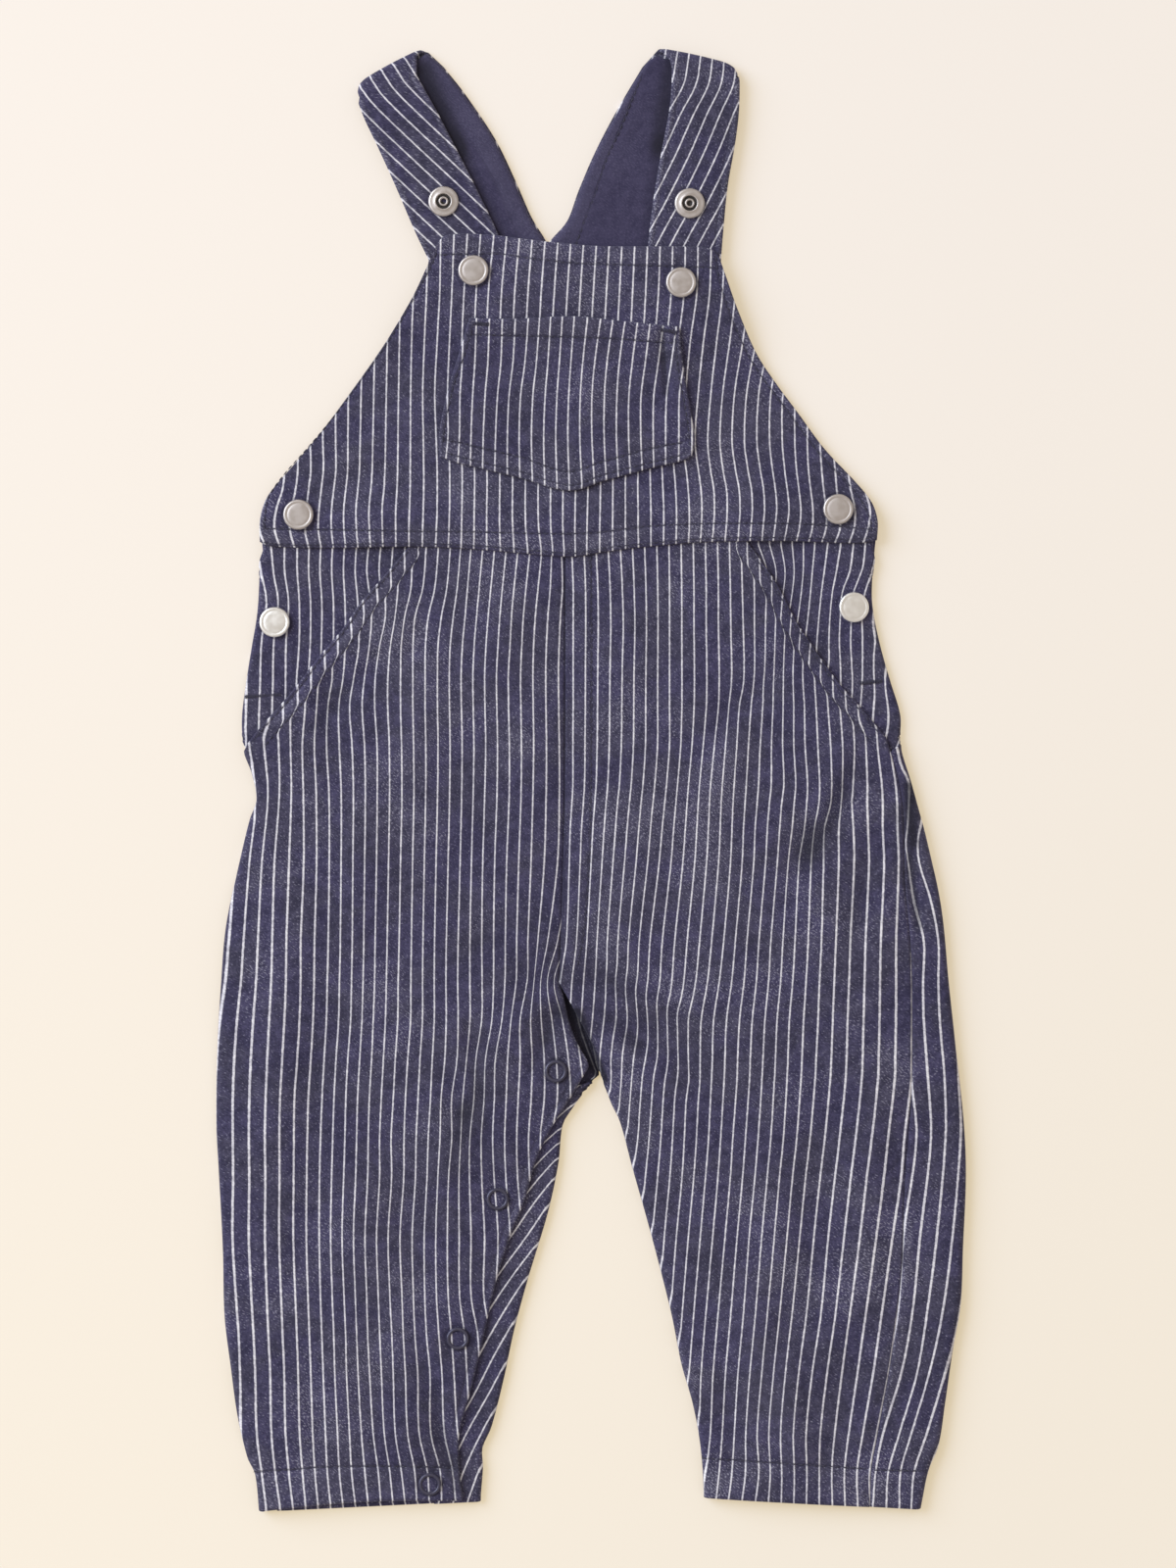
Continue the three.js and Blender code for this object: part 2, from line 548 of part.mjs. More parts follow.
// Top of the cloth under a snap: the highest point of a surface inside the snap's rim
function seatOn(top, x, y, radius) {
  const heights = [top(x, y)];
  for (let k = 0; k < CAP_SIDES; k += 1) {
    const angle = (2 * Math.PI * k) / CAP_SIDES;
    heights.push(top(x + radius * Math.cos(angle), y + radius * Math.sin(angle)));
  }
  return Math.max(...heights);
}

const bibTop = (x, y) => bibHeight(x, y) + CLOTH / 2;
const hipTop = () => TUCKED_FOLD;
const strapTop = () => STRAP_FOLD;
const frontTop = (x, y) => FRONT_FOLD + frontLift(x, y, leftPlacket(y) - x, leftPlacket(y) - leftSide(y));

const SNAPS = table(['name', 'x', 'y', 'top', 'profile', 'sides', 'look'], [
  ['cap_bib_left', -43.2, 185.8, bibTop, CAP_PROFILE, CAP_SIDES, NICKEL_LOOK],
  ['cap_bib_right', 32.8, 181.4, bibTop, CAP_PROFILE, CAP_SIDES, NICKEL_LOOK],
  ['cap_side_left', -107.3, 96.5, bibTop, CAP_PROFILE, CAP_SIDES, NICKEL_LOOK],
  ['cap_side_right', 90.4, 98.5, bibTop, CAP_PROFILE, CAP_SIDES, NICKEL_LOOK],
  ['cap_hip_left', -116.1, 57.2, hipTop, CAP_PROFILE, CAP_SIDES, NICKEL_LOOK],
  ['cap_hip_right', 96.1, 62.6, hipTop, CAP_PROFILE, CAP_SIDES, NICKEL_LOOK],
  ['socket_strap_left', -54.2, 211.3, strapTop, SOCKET_PROFILE, CAP_SIDES, NICKEL_LOOK],
  ['socket_strap_right', 36.0, 210.6, strapTop, SOCKET_PROFILE, CAP_SIDES, NICKEL_LOOK],
  ['ring_crotch', -13.0, -107.3, frontTop, RING_PROFILE, RING_SIDES, ENAMEL_LOOK],
  ['ring_thigh', -34.4, -154.1, frontTop, RING_PROFILE, RING_SIDES, ENAMEL_LOOK],
  ['ring_knee', -49.0, -205.2, frontTop, RING_PROFILE, RING_SIDES, ENAMEL_LOOK],
  ['ring_hem', -59.2, -258.5, frontTop, RING_PROFILE, RING_SIDES, ENAMEL_LOOK],
]);

// Assembly

function piece(name, geometry, look) {
  const mesh = new THREE.Mesh(geometry, new THREE.MeshStandardMaterial(look));
  mesh.name = name;
  return mesh;
}

const dungarees = new THREE.Group();
dungarees.position.set(CENTRING.x, CENTRING.y, 0);
dungarees.add(
  piece('back_left_with_strap', backHalf(LEFT_BACK), CLOTH_LOOK),
  piece('back_right_with_strap', backHalf(RIGHT_BACK), CLOTH_LOOK),
  piece('arm_lining_left', armLining(LEFT_BACK), LINING_LOOK),
  piece('arm_lining_right', armLining(RIGHT_BACK), LINING_LOOK),
  piece('trouser_back_left', backLeft(), CLOTH_LOOK),
  piece('trouser_back_right', backRight(), CLOTH_LOOK),
  piece('trouser_front_left', frontLeft(), CLOTH_LOOK),
  piece('trouser_front_right', frontRight(), CLOTH_LOOK),
  piece('hip_panel_left', hipPanel(leftSide, leftSlant, -1), CLOTH_LOOK),
  piece('hip_panel_right', hipPanel(rightSide, rightSlant, 1), CLOTH_LOOK),
  piece('bib', patchPanel(BIB_EDGES, 16, 20, bibHeight), CLOTH_LOOK),
  piece('bib_pocket', patchPanel(POCKET_EDGES, 10, 12, pocketHeight), CLOTH_LOOK),
);
for (const snap of SNAPS) {
  const mesh = piece(snap.name, turned(snap.profile, snap.sides), snap.look);
  const rim = Math.max(...snap.profile.map(({ radius }) => radius));
  mesh.position.set(snap.x, snap.y, seatOn(snap.top, snap.x, snap.y, rim) + SEAM_GAP);
  dungarees.add(mesh);
}

export default dungarees;
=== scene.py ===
"""Baby dungarees laid flat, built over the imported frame: striped cloth, plain lining, stitching and snaps.

Sizes are in millimetres unless a name says otherwise, with +X right, +Y towards the shoulders and +Z up.
Stripe charts and stitch lines are in picture steps of 0.36 mm, counted from the picture's upper left corner.
Each cloth piece is a thin closed shell on the form of the solid that it stands for.
"""

from __future__ import annotations

import logging
import math
from dataclasses import dataclass
from enum import Enum
from typing import Callable, Sequence

import bpy
import numpy as np
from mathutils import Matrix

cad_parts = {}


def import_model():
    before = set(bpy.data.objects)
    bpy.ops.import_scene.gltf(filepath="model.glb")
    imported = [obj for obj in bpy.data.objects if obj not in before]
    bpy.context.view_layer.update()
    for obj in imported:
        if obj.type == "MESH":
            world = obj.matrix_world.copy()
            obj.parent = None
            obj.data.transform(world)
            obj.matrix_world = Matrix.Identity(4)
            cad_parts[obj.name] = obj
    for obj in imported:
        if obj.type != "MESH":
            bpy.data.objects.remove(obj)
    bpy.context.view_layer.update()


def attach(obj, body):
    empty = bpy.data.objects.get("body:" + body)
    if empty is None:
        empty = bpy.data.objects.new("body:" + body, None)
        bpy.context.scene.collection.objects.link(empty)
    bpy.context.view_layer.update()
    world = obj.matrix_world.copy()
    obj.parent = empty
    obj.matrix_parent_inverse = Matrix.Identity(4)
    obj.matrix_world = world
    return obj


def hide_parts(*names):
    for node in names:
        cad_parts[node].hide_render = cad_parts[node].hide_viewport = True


LOG = logging.getLogger("dungarees")

MILLIMETRE = 0.001
CLOTH = 1.2
LINING = 1.0
SEAM_GAP = 0.3
LAID_GAP = 0.45
FRONT_FOLD = 4.6
TUCKED_FOLD = 3.0
STRAP_FOLD = 4.1
LINING_MIDDLE = CLOTH + SEAM_GAP + LINING / 2
UNDER_TAIL = 6.3
UNDER_END = 6.8
SLANT_LAP = 10.0
FRONT_CROWN = 0.8
CROWN_RISE = 22.0
HEM_BAND = 0.35
HEM_DEPTH = 13.5
STRIP_WIDTH = 17.0
FRONT_TOP = 91.5
BACK_TOP = 81.3
LEFT_HIP = 10.0
RIGHT_HIP = 15.0
CROTCH = -75.0
WIDEST_GAPE = -97.0
INSEAM_TOP = -109.0
HEM_RAISED_BELOW = -240.0
HEM_HEIGHT = -268.0
BIB_MIDDLE = -5.0
CAP_REACH = 6.1
RING_REACH = 4.45
CENTRING = np.array([0.145, 0.42, 0.0])
STEP = 0.36
PICTURE_MIDDLE = (603.5, 794.0)
STRIPE_SPACING = 4.6

Grid = np.ndarray
Pair = tuple[float, float]
Rows = Sequence[Sequence[float]]
Socket = bpy.types.NodeSocket
Material = bpy.types.Material
Field = Callable[[Grid, Grid], Grid]
Edge = Callable[[Grid], Grid]
Colour = tuple[float, float, float, float]


class Slot(Enum):
    """Material slots that the record names."""

    CLOTH = "striped_cloth"
    LINING = "plain_lining"
    METAL = "snap_metal"
    ENAMEL = "ring_enamel"


def mix(start: float | Grid, end: float | Grid, share: float | Grid) -> Grid:
    """Blends two values linearly.

    Args:
        start: Value at a share of 0.
        end: Value at a share of 1.
        share: How far from start to end.

    Returns:
        The blended value.
    """
    return start + (end - start) * share


def smooth(value: float | Grid) -> Grid:
    """Eases a value from 0 to 1 and holds it outside that range."""
    held = np.clip(value, 0.0, 1.0)
    return held * held * (3 - 2 * held)


def bell(distance: Grid, width: float) -> Grid:
    """1 at no distance, falling off smoothly over a width."""
    return np.exp(-((distance / width) ** 2))


def from_picture(points: Rows) -> Grid:
    """Turns picture steps into millimetres on the garment's plane."""
    steps = np.asarray(points, float)
    across, down = steps[:, 0], steps[:, 1]
    return np.stack([(across - PICTURE_MIDDLE[0]) * STEP, (PICTURE_MIDDLE[1] - down) * STEP], axis=1)


class HeightCurve:
    """A smooth x for every height y, through a table that runs from the top down."""

    def __init__(self, rows: Rows) -> None:
        table = np.asarray(rows, float)
        self.y = table[:, 0]
        self.x = table[:, 1]
        last = len(table) - 1
        before = np.maximum(np.arange(last + 1) - 1, 0)
        after = np.minimum(np.arange(last + 1) + 1, last)
        self.slope = (self.x[after] - self.x[before]) / (self.y[after] - self.y[before])

    def __call__(self, y: Grid) -> Grid:
        """Reads the curve.

        Args:
            y: Heights, in any shape.

        Returns:
            The x at each height.
        """
        heights = np.asarray(y, float)
        lower = np.clip(np.searchsorted(-self.y, -heights, side="left"), 1, len(self.y) - 1)
        upper = lower - 1
        span = self.y[lower] - self.y[upper]
        t = np.clip((heights - self.y[upper]) / span, 0, 1)
        t2 = t * t
        t3 = t2 * t
        return (
            (2 * t3 - 3 * t2 + 1) * self.x[upper]
            + (t3 - 2 * t2 + t) * span * self.slope[upper]
            + (3 * t2 - 2 * t3) * self.x[lower]
            + (t3 - t2) * span * self.slope[lower]
        )
def joined(first: HeightCurve, *following: tuple[float, HeightCurve]) -> Edge:
    """Joins curves that follow one another down the garment.

    Args:
        first: The uppermost curve.
        *following: The height at which each next curve takes over, and the curve.

    Returns:
        One edge through all the curves.
    """
    def read(y: Grid) -> Grid:
        x = first(y)
        for height, curve in following:
            x = np.where(y > height, x, curve(y))
        return x

    return read
LEFT_SIDE = HeightCurve([
    (92, -120.4), (80, -121.5), (61, -122.6), (48, -124.7), (34, -126.9), (21, -128.3), (10, -127.3),
    (1, -124.4), (-8, -122.9), (-15, -125.3), (-29, -128.7), (-54, -134.0), (-76, -135.9), (-101, -137.3),
    (-128, -137.6), (-144, -136.7), (-173, -135.2), (-197, -134.6), (-216, -132.3), (-234, -129.8),
    (-249, -126.2), (-255, -123.4), (-268.6, -121.9),
])
RIGHT_SIDE = HeightCurve([
    (92, 103.4), (84, 104.2), (75, 103.2), (64, 103.1), (50, 105.7), (36, 109.6), (23, 113.4), (12, 113.4),
    (-1, 117.2), (-10, 119.7), (-22, 122.9), (-47, 128.3), (-76, 131.2), (-99, 133.7), (-126, 136.6),
    (-146, 137.4), (-173, 136.3), (-193, 135.5), (-209, 132.7), (-229, 129.8), (-245, 127.3),
    (-254, 123.7), (-268, 120.8),
])
LEFT_SLANT = HeightCurve([
    (92, -62.0), (84, -67.5), (73, -76.7), (65, -83.8), (55, -90.7), (44, -100.0), (31, -110.1),
    (19, -120.7), (13, -125.5), (10, -127.3),
])
RIGHT_SLANT = HeightCurve([
    (92, 52.3), (85, 58.2), (71, 68.0), (58, 74.7), (48, 81.2), (34, 91.3), (26, 98.5), (15, 107.8),
])
RIGHT_SIDE_SEAM = HeightCurve([
    (15, 107.8), (1, 112.1), (-13, 114.3), (-39, 114.9), (-60, 116.8), (-75, 117.4), (-110, 117.4),
    (-125, 116.6), (-146, 114.8), (-179, 113.7), (-211, 110.0), (-243, 104.3), (-254, 102.5), (-268, 102.1),
])
FRONT_CENTRE = HeightCurve([(92, -9.5), (0, -9.6), (-40, -10.5), (-75, -11.7)])
BACK_CENTRE = HeightCurve([(92, -15.0), (0, -12.0), (-60, -8.5), (-90, -3.5), (-109, 3.1)])
LEFT_PLACKET = HeightCurve([
    (-75, -11.7), (-88, -8.0), (-98, -2.8), (-105, -0.4), (-109, -2.8), (-118, -8.3), (-126, -13.5),
    (-139, -20.0), (-155, -24.7), (-168, -30.0), (-189, -36.2), (-207, -40.1), (-225, -44.5),
    (-238, -48.1), (-245, -48.8), (-261, -48.1), (-266, -47.3),
])
RIGHT_CLEFT = HeightCurve([(-75, -11.7), (-81, -8.3), (-88, -4.8), (-94, -2.0), (-101, 0.9), (-109, 3.6)])
LEFT_INSEAM = HeightCurve([
    (-109, 2.6), (-116, -3.1), (-121, -6.7), (-127, -10.3), (-141, -11.9), (-159, -15.7), (-184, -23.2),
    (-203, -28.3), (-220, -31.9), (-238, -36.5), (-246, -39.8), (-254, -39.6), (-266, -40.4),
])
RIGHT_INSEAM = HeightCurve([
    (-109, 3.6), (-119, 7.0), (-126, 10.3), (-143, 14.9), (-161, 20.0), (-177, 24.3), (-197, 29.3),
    (-215, 32.9), (-229, 36.9), (-242, 39.4), (-254, 40.5), (-266, 41.0),
])


@dataclass(frozen=True)
class Crease:
    """A soft trough or ridge along a line.

    Attributes:
        start: Where it begins.
        end: Where it ends.
        width: Half width of its bell.
        depth: Height at its middle, less than 0 for a trough.
    """

    start: Pair
    end: Pair
    width: float
    depth: float

    def height(self, x: Grid, y: Grid) -> Grid:
        """Height that the crease adds at each point."""
        along = np.subtract(self.end, self.start)
        t = ((x - self.start[0]) * along[0] + (y - self.start[1]) * along[1]) / float(along @ along)
        t = np.clip(t, 0, 1)
        away = np.hypot(x - self.start[0] - t * along[0], y - self.start[1] - t * along[1])
        return self.depth * bell(away, self.width)


def creases(rows: Rows) -> list[Crease]:
    """Makes creases from rows of start x, start y, end x, end y, half width and depth."""
    return [Crease((a, b), (c, d), width, depth) for a, b, c, d, width, depth in rows]


MAIN_CREASES = creases([
    (-46, -99, -37, -142, 9, -0.75), (-68, -158, -64, -182, 8, -0.45), (-97, 36, -95, 10, 8, -0.55),
    (-62, 40, -70, 5, 9, 0.45), (62, 42, 48, 22, 8, -0.55), (93, 0, 81, -26, 8, -0.7),
    (2, -72, 36, -93, 9, -0.7), (-40, -60, -14, -72, 8, -0.5), (-62, -216, -50, -250, 8, -0.45),
    (58, -190, 64, -236, 10, 0.45),
])
# Painted shade and highlight only, down to BACK_SHADE: these creases darken troughs and lighten ridges in the
# cloth's colour and don't change its form.
FRONT_LEFT_SHADE = creases([
    (-10, -84, -3, -98, 3.2, -0.9), (-16, -96, -8, -112, 3.0, -0.35), (-26, -84, -46, -122, 4.5, -0.5),
    (-46, -122, -56, -150, 4.0, -0.45), (-100, 20, -122, 12, 5, -0.4), (-12, -86, -22, -106, 3.0, -0.4),
    (-58, -240, -50, -262, 3.5, -0.4),
])
FRONT_RIGHT_SHADE = creases([
    (-5.5, -86, 4.3, -110, 1.9, -2.3), (2, -84, 18, -98, 3.5, -0.6), (84, 30, 104, 18, 5, -0.45),
    (112, -10, 114, -38, 1.6, -0.7), (90, -4, 80, -30, 5, -0.5), (98, -40, 92, -84, 5, -0.35),
])
WRAP_SHADE = creases([
    (116.2, -3, 117.8, -24, 2.5, -1.6), (116.6, -28, 119.8, -54, 1.6, -1.3), (124, -150, 128, -190, 4, 0.3),
    (118, -196, 112, -232, 3, -0.4), (122, -226, 116, -246, 3, 0.3), (121.5, -10, 125, -40, 1.8, 0.4),
])
STRAP_LEFT_SHADE = creases([
    (-60, 266.5, -62.5, 265.2, 2.0, -0.9), (-74, 236, -58, 228, 5, -0.35), (-60, 216, -44, 208, 5, 0.25),
])
STRAP_RIGHT_SHADE = creases([
    (21.5, 265.5, 24.5, 266.6, 1.6, -1.0), (30, 240, 50, 236, 5, -0.35), (26, 222, 46, 226, 5, 0.25),
])
LINING_LEFT_SHADE = creases([
    (-62, 259, -50, 232, 5.0, -1.6), (-50, 232, -31, 190, 4.4, -1.0), (-30, 212, -44, 236, 4, 0.3),
])
LINING_RIGHT_SHADE = creases([
    (29, 262, 25, 232, 4.0, -1.2), (25, 232, 20, 190, 3.4, -0.7), (-4, 206, 8, 226, 5, 0.2),
    (10, 226, 20, 246, 5, -0.3),
])
BACK_SHADE = creases([
    (-7, -82, 3, -106, 4.5, -2.6),
])
FRONT_RIGHT_WAVES = creases([
    (9.5, -74.2, 31.1, -86.4, 5.0, 0.17), (11.7, -88.6, 34.7, -110.2, 5.5, -0.17),
])
SMALL_CREASES = creases([
    (-84, 62, -112, 22, 4.5, 0.35), (-78, 44, -98, 22, 4.0, -0.35), (-104, 24, -84, 16, 3.5, 0.25),
    (-60, 66, -66, 46, 5, -0.3), (-30, 70, -36, 40, 7, 0.25), (22, 66, 26, 36, 8, -0.22),
    (70, 52, 56, 34, 4.0, 0.35), (56, 20, 44, -4, 6, 0.3), (92, 10, 84, -12, 4.5, 0.4),
    (78, -20, 72, -44, 6, -0.3), (104, -24, 96, -60, 7, -0.3), (108, -34, 104, -80, 6, 0.28),
    (-50, -92, -42, -126, 4, 0.4), (-39, -104, -31, -140, 4, 0.35), (-58, -116, -52, -150, 5, 0.22),
    (-14, -80, -30, -92, 3.5, 0.35), (-12, -86, -22, -106, 3.0, -0.4), (-8, -66, -24, -58, 5, 0.25),
    (0, -80, 22, -84, 3.2, 0.35), (-2, -88, 18, -98, 3.0, -0.35), (8, -66, 40, -82, 4.5, 0.3),
    (30, -92, 52, -112, 6, 0.25), (-112, -60, -118, -130, 9, 0.3), (-98, -90, -104, -170, 9, -0.25),
    (-86, -150, -92, -220, 10, 0.22), (-72, -186, -66, -232, 6, 0.3), (-58, -206, -44, -240, 4, 0.3),
    (-56, -236, -50, -252, 3.0, -0.35), (-68, -240, -64, -256, 3.0, 0.22), (-104, -214, -100, -246, 5, -0.28),
    (86, -130, 76, -200, 9, -0.3), (104, -120, 100, -190, 7, 0.3), (62, -120, 70, -180, 8, 0.25),
    (96, -206, 88, -246, 6, -0.3), (72, -214, 74, -248, 5, 0.28), (48, -216, 52, -250, 4.5, -0.3),
    (108, -212, 100, -240, 4, 0.3), (-20, 20, -24, -30, 10, 0.2), (18, 10, 14, -40, 10, 0.2),
    (-46, 10, -52, -40, 9, -0.22), (44, -30, 52, -70, 9, 0.22), (-84, -10, -88, -50, 8, 0.22),
])
BIB_CREASES = creases([
    (-96, 112, -70, 132, 5, 0.35), (-100, 104, -74, 116, 4, -0.35), (76, 112, 60, 128, 5, 0.35),
    (82, 104, 62, 114, 4, -0.35), (-62, 160, -52, 184, 4, -0.35), (46, 160, 42, 182, 4, -0.35),
    (-66, 120, -62, 150, 6, 0.25), (46, 124, 50, 150, 6, 0.28), (-30, 100, -26, 92, 5, -0.25),
    (14, 100, 20, 92, 5, -0.25), (58, 108, 54, 92, 5, 0.3), (-82, 104, -84, 92, 5, 0.3),
    (-36, 176, -30, 188, 5, 0.25), (4, 172, 0, 190, 7, -0.25), (92, 104, 88, 90, 4, -0.3),
])
POCKET_CREASES = creases([
    (-42, 160, -50, 126, 4, 0.3), (-30, 162, -34, 118, 7, -0.25), (0, 164, -4, 112, 9, 0.3),
    (24, 160, 20, 120, 6, -0.28), (25.9, 165.5, 27.4, 141, 1.4, -0.9), (31, 158, 33.5, 130, 2.6, 0.4),
    (10, 120, 4, 110, 5, -0.2), (-40, 164, -46, 140, 2.2, -0.35),
])
WRAP_CREASES = creases([
    (124, -150, 128, -190, 4, 0.25), (118, -196, 112, -232, 3, -0.3), (122, -226, 116, -246, 3, 0.25),
    (121, -50, 124, -96, 4, 0.2), (113.5, -26, 119.5, -52, 2.6, -0.9), (121, -18, 124, -34, 2.5, 0.3),
])
STRAP_LEFT_CREASES = creases([
    (-74, 236, -58, 228, 5, -0.3), (-60, 216, -44, 208, 5, 0.2), (-80, 246, -66, 250, 4, 0.2),
])
STRAP_RIGHT_CREASES = creases([(30, 240, 50, 236, 5, -0.3), (26, 222, 46, 226, 5, 0.2)])
LINING_LEFT_CREASES = creases([(-30, 212, -44, 236, 4, 0.2), (-46, 232, -56, 246, 4, -0.2)])
LINING_RIGHT_CREASES = creases([(-4, 206, 8, 226, 5, 0.2), (10, 226, 20, 246, 5, -0.2)])


class Polyline:
    """A smooth line through points on the garment's plane, read by distance along it."""

    def __init__(self, points: Grid, curved: bool = True) -> None:
        knots = np.asarray(points, float)
        if curved and len(knots) > 2:
            before = 2 * knots[0] - knots[1]
            after = 2 * knots[-1] - knots[-2]
            held = np.vstack([before, knots, after])
            pieces = []
            for k in range(len(knots) - 1):
                t = np.linspace(0, 1, 24, endpoint=False)[:, None]
                first, second, third, fourth = held[k:k + 4]
                pieces.append(0.5 * (
                    2 * second + (third - first) * t
                    + (2 * first - 5 * second + 4 * third - fourth) * t**2
                    + (3 * second - first - 3 * third + fourth) * t**3
                ))
            knots = np.vstack([*pieces, knots[-1:]])
        self.points = knots
        steps = np.hypot(*np.diff(knots, axis=0).T)
        self.along = np.concatenate([[0.0], np.cumsum(steps)])
        self.length = float(self.along[-1])

    def at(self, distance: Grid) -> Grid:
        """Points at the given distances along the line."""
        return np.stack([np.interp(distance, self.along, self.points[:, k]) for k in range(2)], axis=-1)

    def share(self, part: Grid) -> Grid:
        """Points at the given shares of the whole length."""
        return self.at(np.asarray(part) * self.length)

    def offset(self, distance: float) -> "Polyline":
        """The same line moved sideways, to its left for a distance above 0."""
        tangent = np.gradient(self.points, axis=0)
        tangent /= np.linalg.norm(tangent, axis=1)[:, None] + 1e-9
        side = np.stack([-tangent[:, 1], tangent[:, 0]], axis=1)
        return Polyline(self.points + side * distance, curved=False)

    def nearest(self, x: Grid, y: Grid) -> tuple[Grid, Grid]:
        """Looks for the nearest point of the line.

        Args:
            x: Places across.
            y: Heights.

        Returns:
            Distance to the line, above 0 on its left, and how far along it the nearest point is.
        """
        coarse = self.at(np.linspace(0, self.length, max(2, int(self.length / 4))))
        best = np.full(np.shape(x), 1e9)
        where = np.zeros(np.shape(x))
        side = np.ones(np.shape(x))
        travelled = 0.0
        for start, end in zip(coarse[:-1], coarse[1:]):
            along = end - start
            reach = float(np.hypot(*along)) + 1e-9
            from_x = x - start[0]
            from_y = y - start[1]
            t = np.clip((from_x * along[0] + from_y * along[1]) / reach**2, 0, 1)
            away = np.hypot(from_x - t * along[0], from_y - t * along[1])
            closer = away < best
            best = np.where(closer, away, best)
            where = np.where(closer, travelled + t * reach, where)
            side = np.where(closer, np.where(along[0] * from_y > along[1] * from_x, 1.0, -1.0), side)
            travelled += reach
        return best * side, where


@dataclass(frozen=True)
class Seam:
    """A row of stitches, with the groove that it pulls into the cloth.

    Attributes:
        name: Which row it is.
        line: Where it runs.
        depth: How deep the cloth is drawn in.
        pitch: Distance from one stitch to the next.
        stitched: Whether the thread shows, or only the groove.
    """

    name: str
    line: Polyline
    depth: float = 0.3
    pitch: float = 2.7
    stitched: bool = True

    GROOVE_WIDTH = 1.3
    PUCKER = 0.13
    PUCKER_WIDTH = 3.4

    def side(self, x: Grid, y: Grid) -> Grid:
        """Distance to the row, with a sign for its side."""
        return self.line.nearest(x, y)[0]

    def height(self, x: Grid, y: Grid) -> Grid:
        """Height that the groove and its puckers add at each point."""
        away, along = self.line.nearest(x, y)
        ripple = np.sin(along * 1.13 + 1.7 * np.sin(along * 0.21)) * np.sin(along * 0.37 + 1.0)
        groove = -self.depth * bell(away, self.GROOVE_WIDTH)
        return groove + self.PUCKER * ripple * bell(away, self.PUCKER_WIDTH)


def seam(name: str, points: Rows, depth: float = 0.3, stitched: bool = True) -> Seam:
    """A row of stitches through points in picture steps."""
    return Seam(name, Polyline(from_picture(points)), depth, stitched=stitched)


SLANT_LEFT_EDGE = [(416, 560), (391, 590), (371, 612), (352, 640), (325, 673), (297, 709), (269, 740),
                   (256, 756)]
SLANT_RIGHT_EDGE = [(765, 557), (793, 598), (811, 633), (829, 661), (857, 700), (877, 721), (902, 751)]
SLANT_LEFT_LINE = Polyline(from_picture(SLANT_LEFT_EDGE))
SLANT_RIGHT_LINE = Polyline(from_picture(SLANT_RIGHT_EDGE))
FRONT_LEFT_SEAMS = [
    Seam("slant_left_near", SLANT_LEFT_LINE.offset(1.0), 0.15),
    Seam("slant_left_far", SLANT_LEFT_LINE.offset(5.4), 0.08),
    seam("hem_left", [(258, 1500), (300, 1497), (343, 1494), (416, 1494), (469, 1496)]),
    seam("placket_left", [(567, 1010), (578, 1044), (595, 1078), (596, 1089), (586, 1096), (572, 1122),
                          (558, 1143), (540, 1179), (527, 1224), (512, 1261), (495, 1319), (484, 1369),
                          (472, 1419), (463, 1460), (464, 1530)], 0.2, False),
]
FRONT_RIGHT_SEAMS = [
    Seam("slant_right_near", SLANT_RIGHT_LINE.offset(-1.0), 0.2),
    Seam("slant_right_far", SLANT_RIGHT_LINE.offset(-5.4), 0.1),
    seam("hem_right", [(715, 1486), (802, 1491), (884, 1497)]),
    seam("centre", [(603, 566), (603.5, 640), (603.5, 720), (603, 800), (602, 860), (600, 900), (596, 950),
                    (588, 990)], 0.3),
]
CENTRE_SEAM = seam("centre_edge", [(577, 555), (577, 700), (577, 830), (576, 900), (574, 950), (572, 1000)],
                                   0.3)
SIDE_SEAM = seam("side_edge", [(903, 752), (915, 791), (921, 830), (923, 902), (928, 961), (930, 1002),
                               (930, 1100), (928, 1141), (923, 1200), (920, 1291), (909, 1380), (893, 1469),
                               (888, 1500), (887, 1540)], 0.1)
BACK_RIGHT_SEAMS = [seam("hem_wrap", [(889, 1498), (946, 1499)])]
BIB_SEAMS = [
    seam("waist_low", [(268, 553.5), (285, 556.5), (340, 556.5), (420, 555.5), (480, 557.5), (540, 562),
                       (585, 565.5), (620, 559.5), (660, 555.5), (720, 550.5), (800, 549.5), (870, 551.5),
                       (892, 547.5)], 0.2),
    seam("waist_high", [(268, 540), (330, 541), (420, 543), (500, 544), (560, 545.5), (600, 545),
                        (620, 543), (660, 538), (700, 536), (725, 535), (822, 535.5), (890, 541)]),
    seam("bib_hem", [(450, 262), (470, 261), (510, 261), (540, 265), (585, 270), (620, 271.5), (680, 273),
                     (734, 275)]),
    seam("bib_left", [(446, 258), (441, 272), (428, 296), (404, 338), (371, 385), (339, 428), (314, 458),
                      (291, 484), (276, 505), (272, 520), (270, 545)], 0.25),
    seam("bib_right", [(730, 262), (733, 285), (744, 320), (762, 361), (782, 392), (805, 422), (833, 460),
                       (863, 492), (880, 514), (888, 533), (888, 546)], 0.25),
]
POCKET_SEAMS = [
    seam("pocket_hem", [(477, 343), (520, 344), (560, 345), (600, 346), (640, 348), (664, 350), (693, 352)]),
    seam("pocket_low", [(456, 463), (481, 470), (531, 482), (580, 496), (617, 485), (667, 472), (701, 464)],
                        0.2),
    seam("pocket_inner", [(457, 450), (484, 456), (533, 468), (579, 482), (615, 472), (665, 458),
                          (700, 452)]),
    seam("pocket_left", [(484, 330), (474, 364), (463, 395), (454, 438), (452, 458)], 0.2),
    seam("pocket_right", [(688, 338), (692, 380), (700, 424), (704, 458)], 0.2),
]
STRAP_LEFT_SEAMS = [
    seam("strap_left_outer", [(371, 104), (391, 146), (410, 189), (430, 237), (446, 274)], 0.2, False),
    seam("strap_left_inner", [(420, 66), (418, 80), (440, 114), (455, 145), (473, 180), (485, 202),
                              (503, 242)], 0.2, False),
]
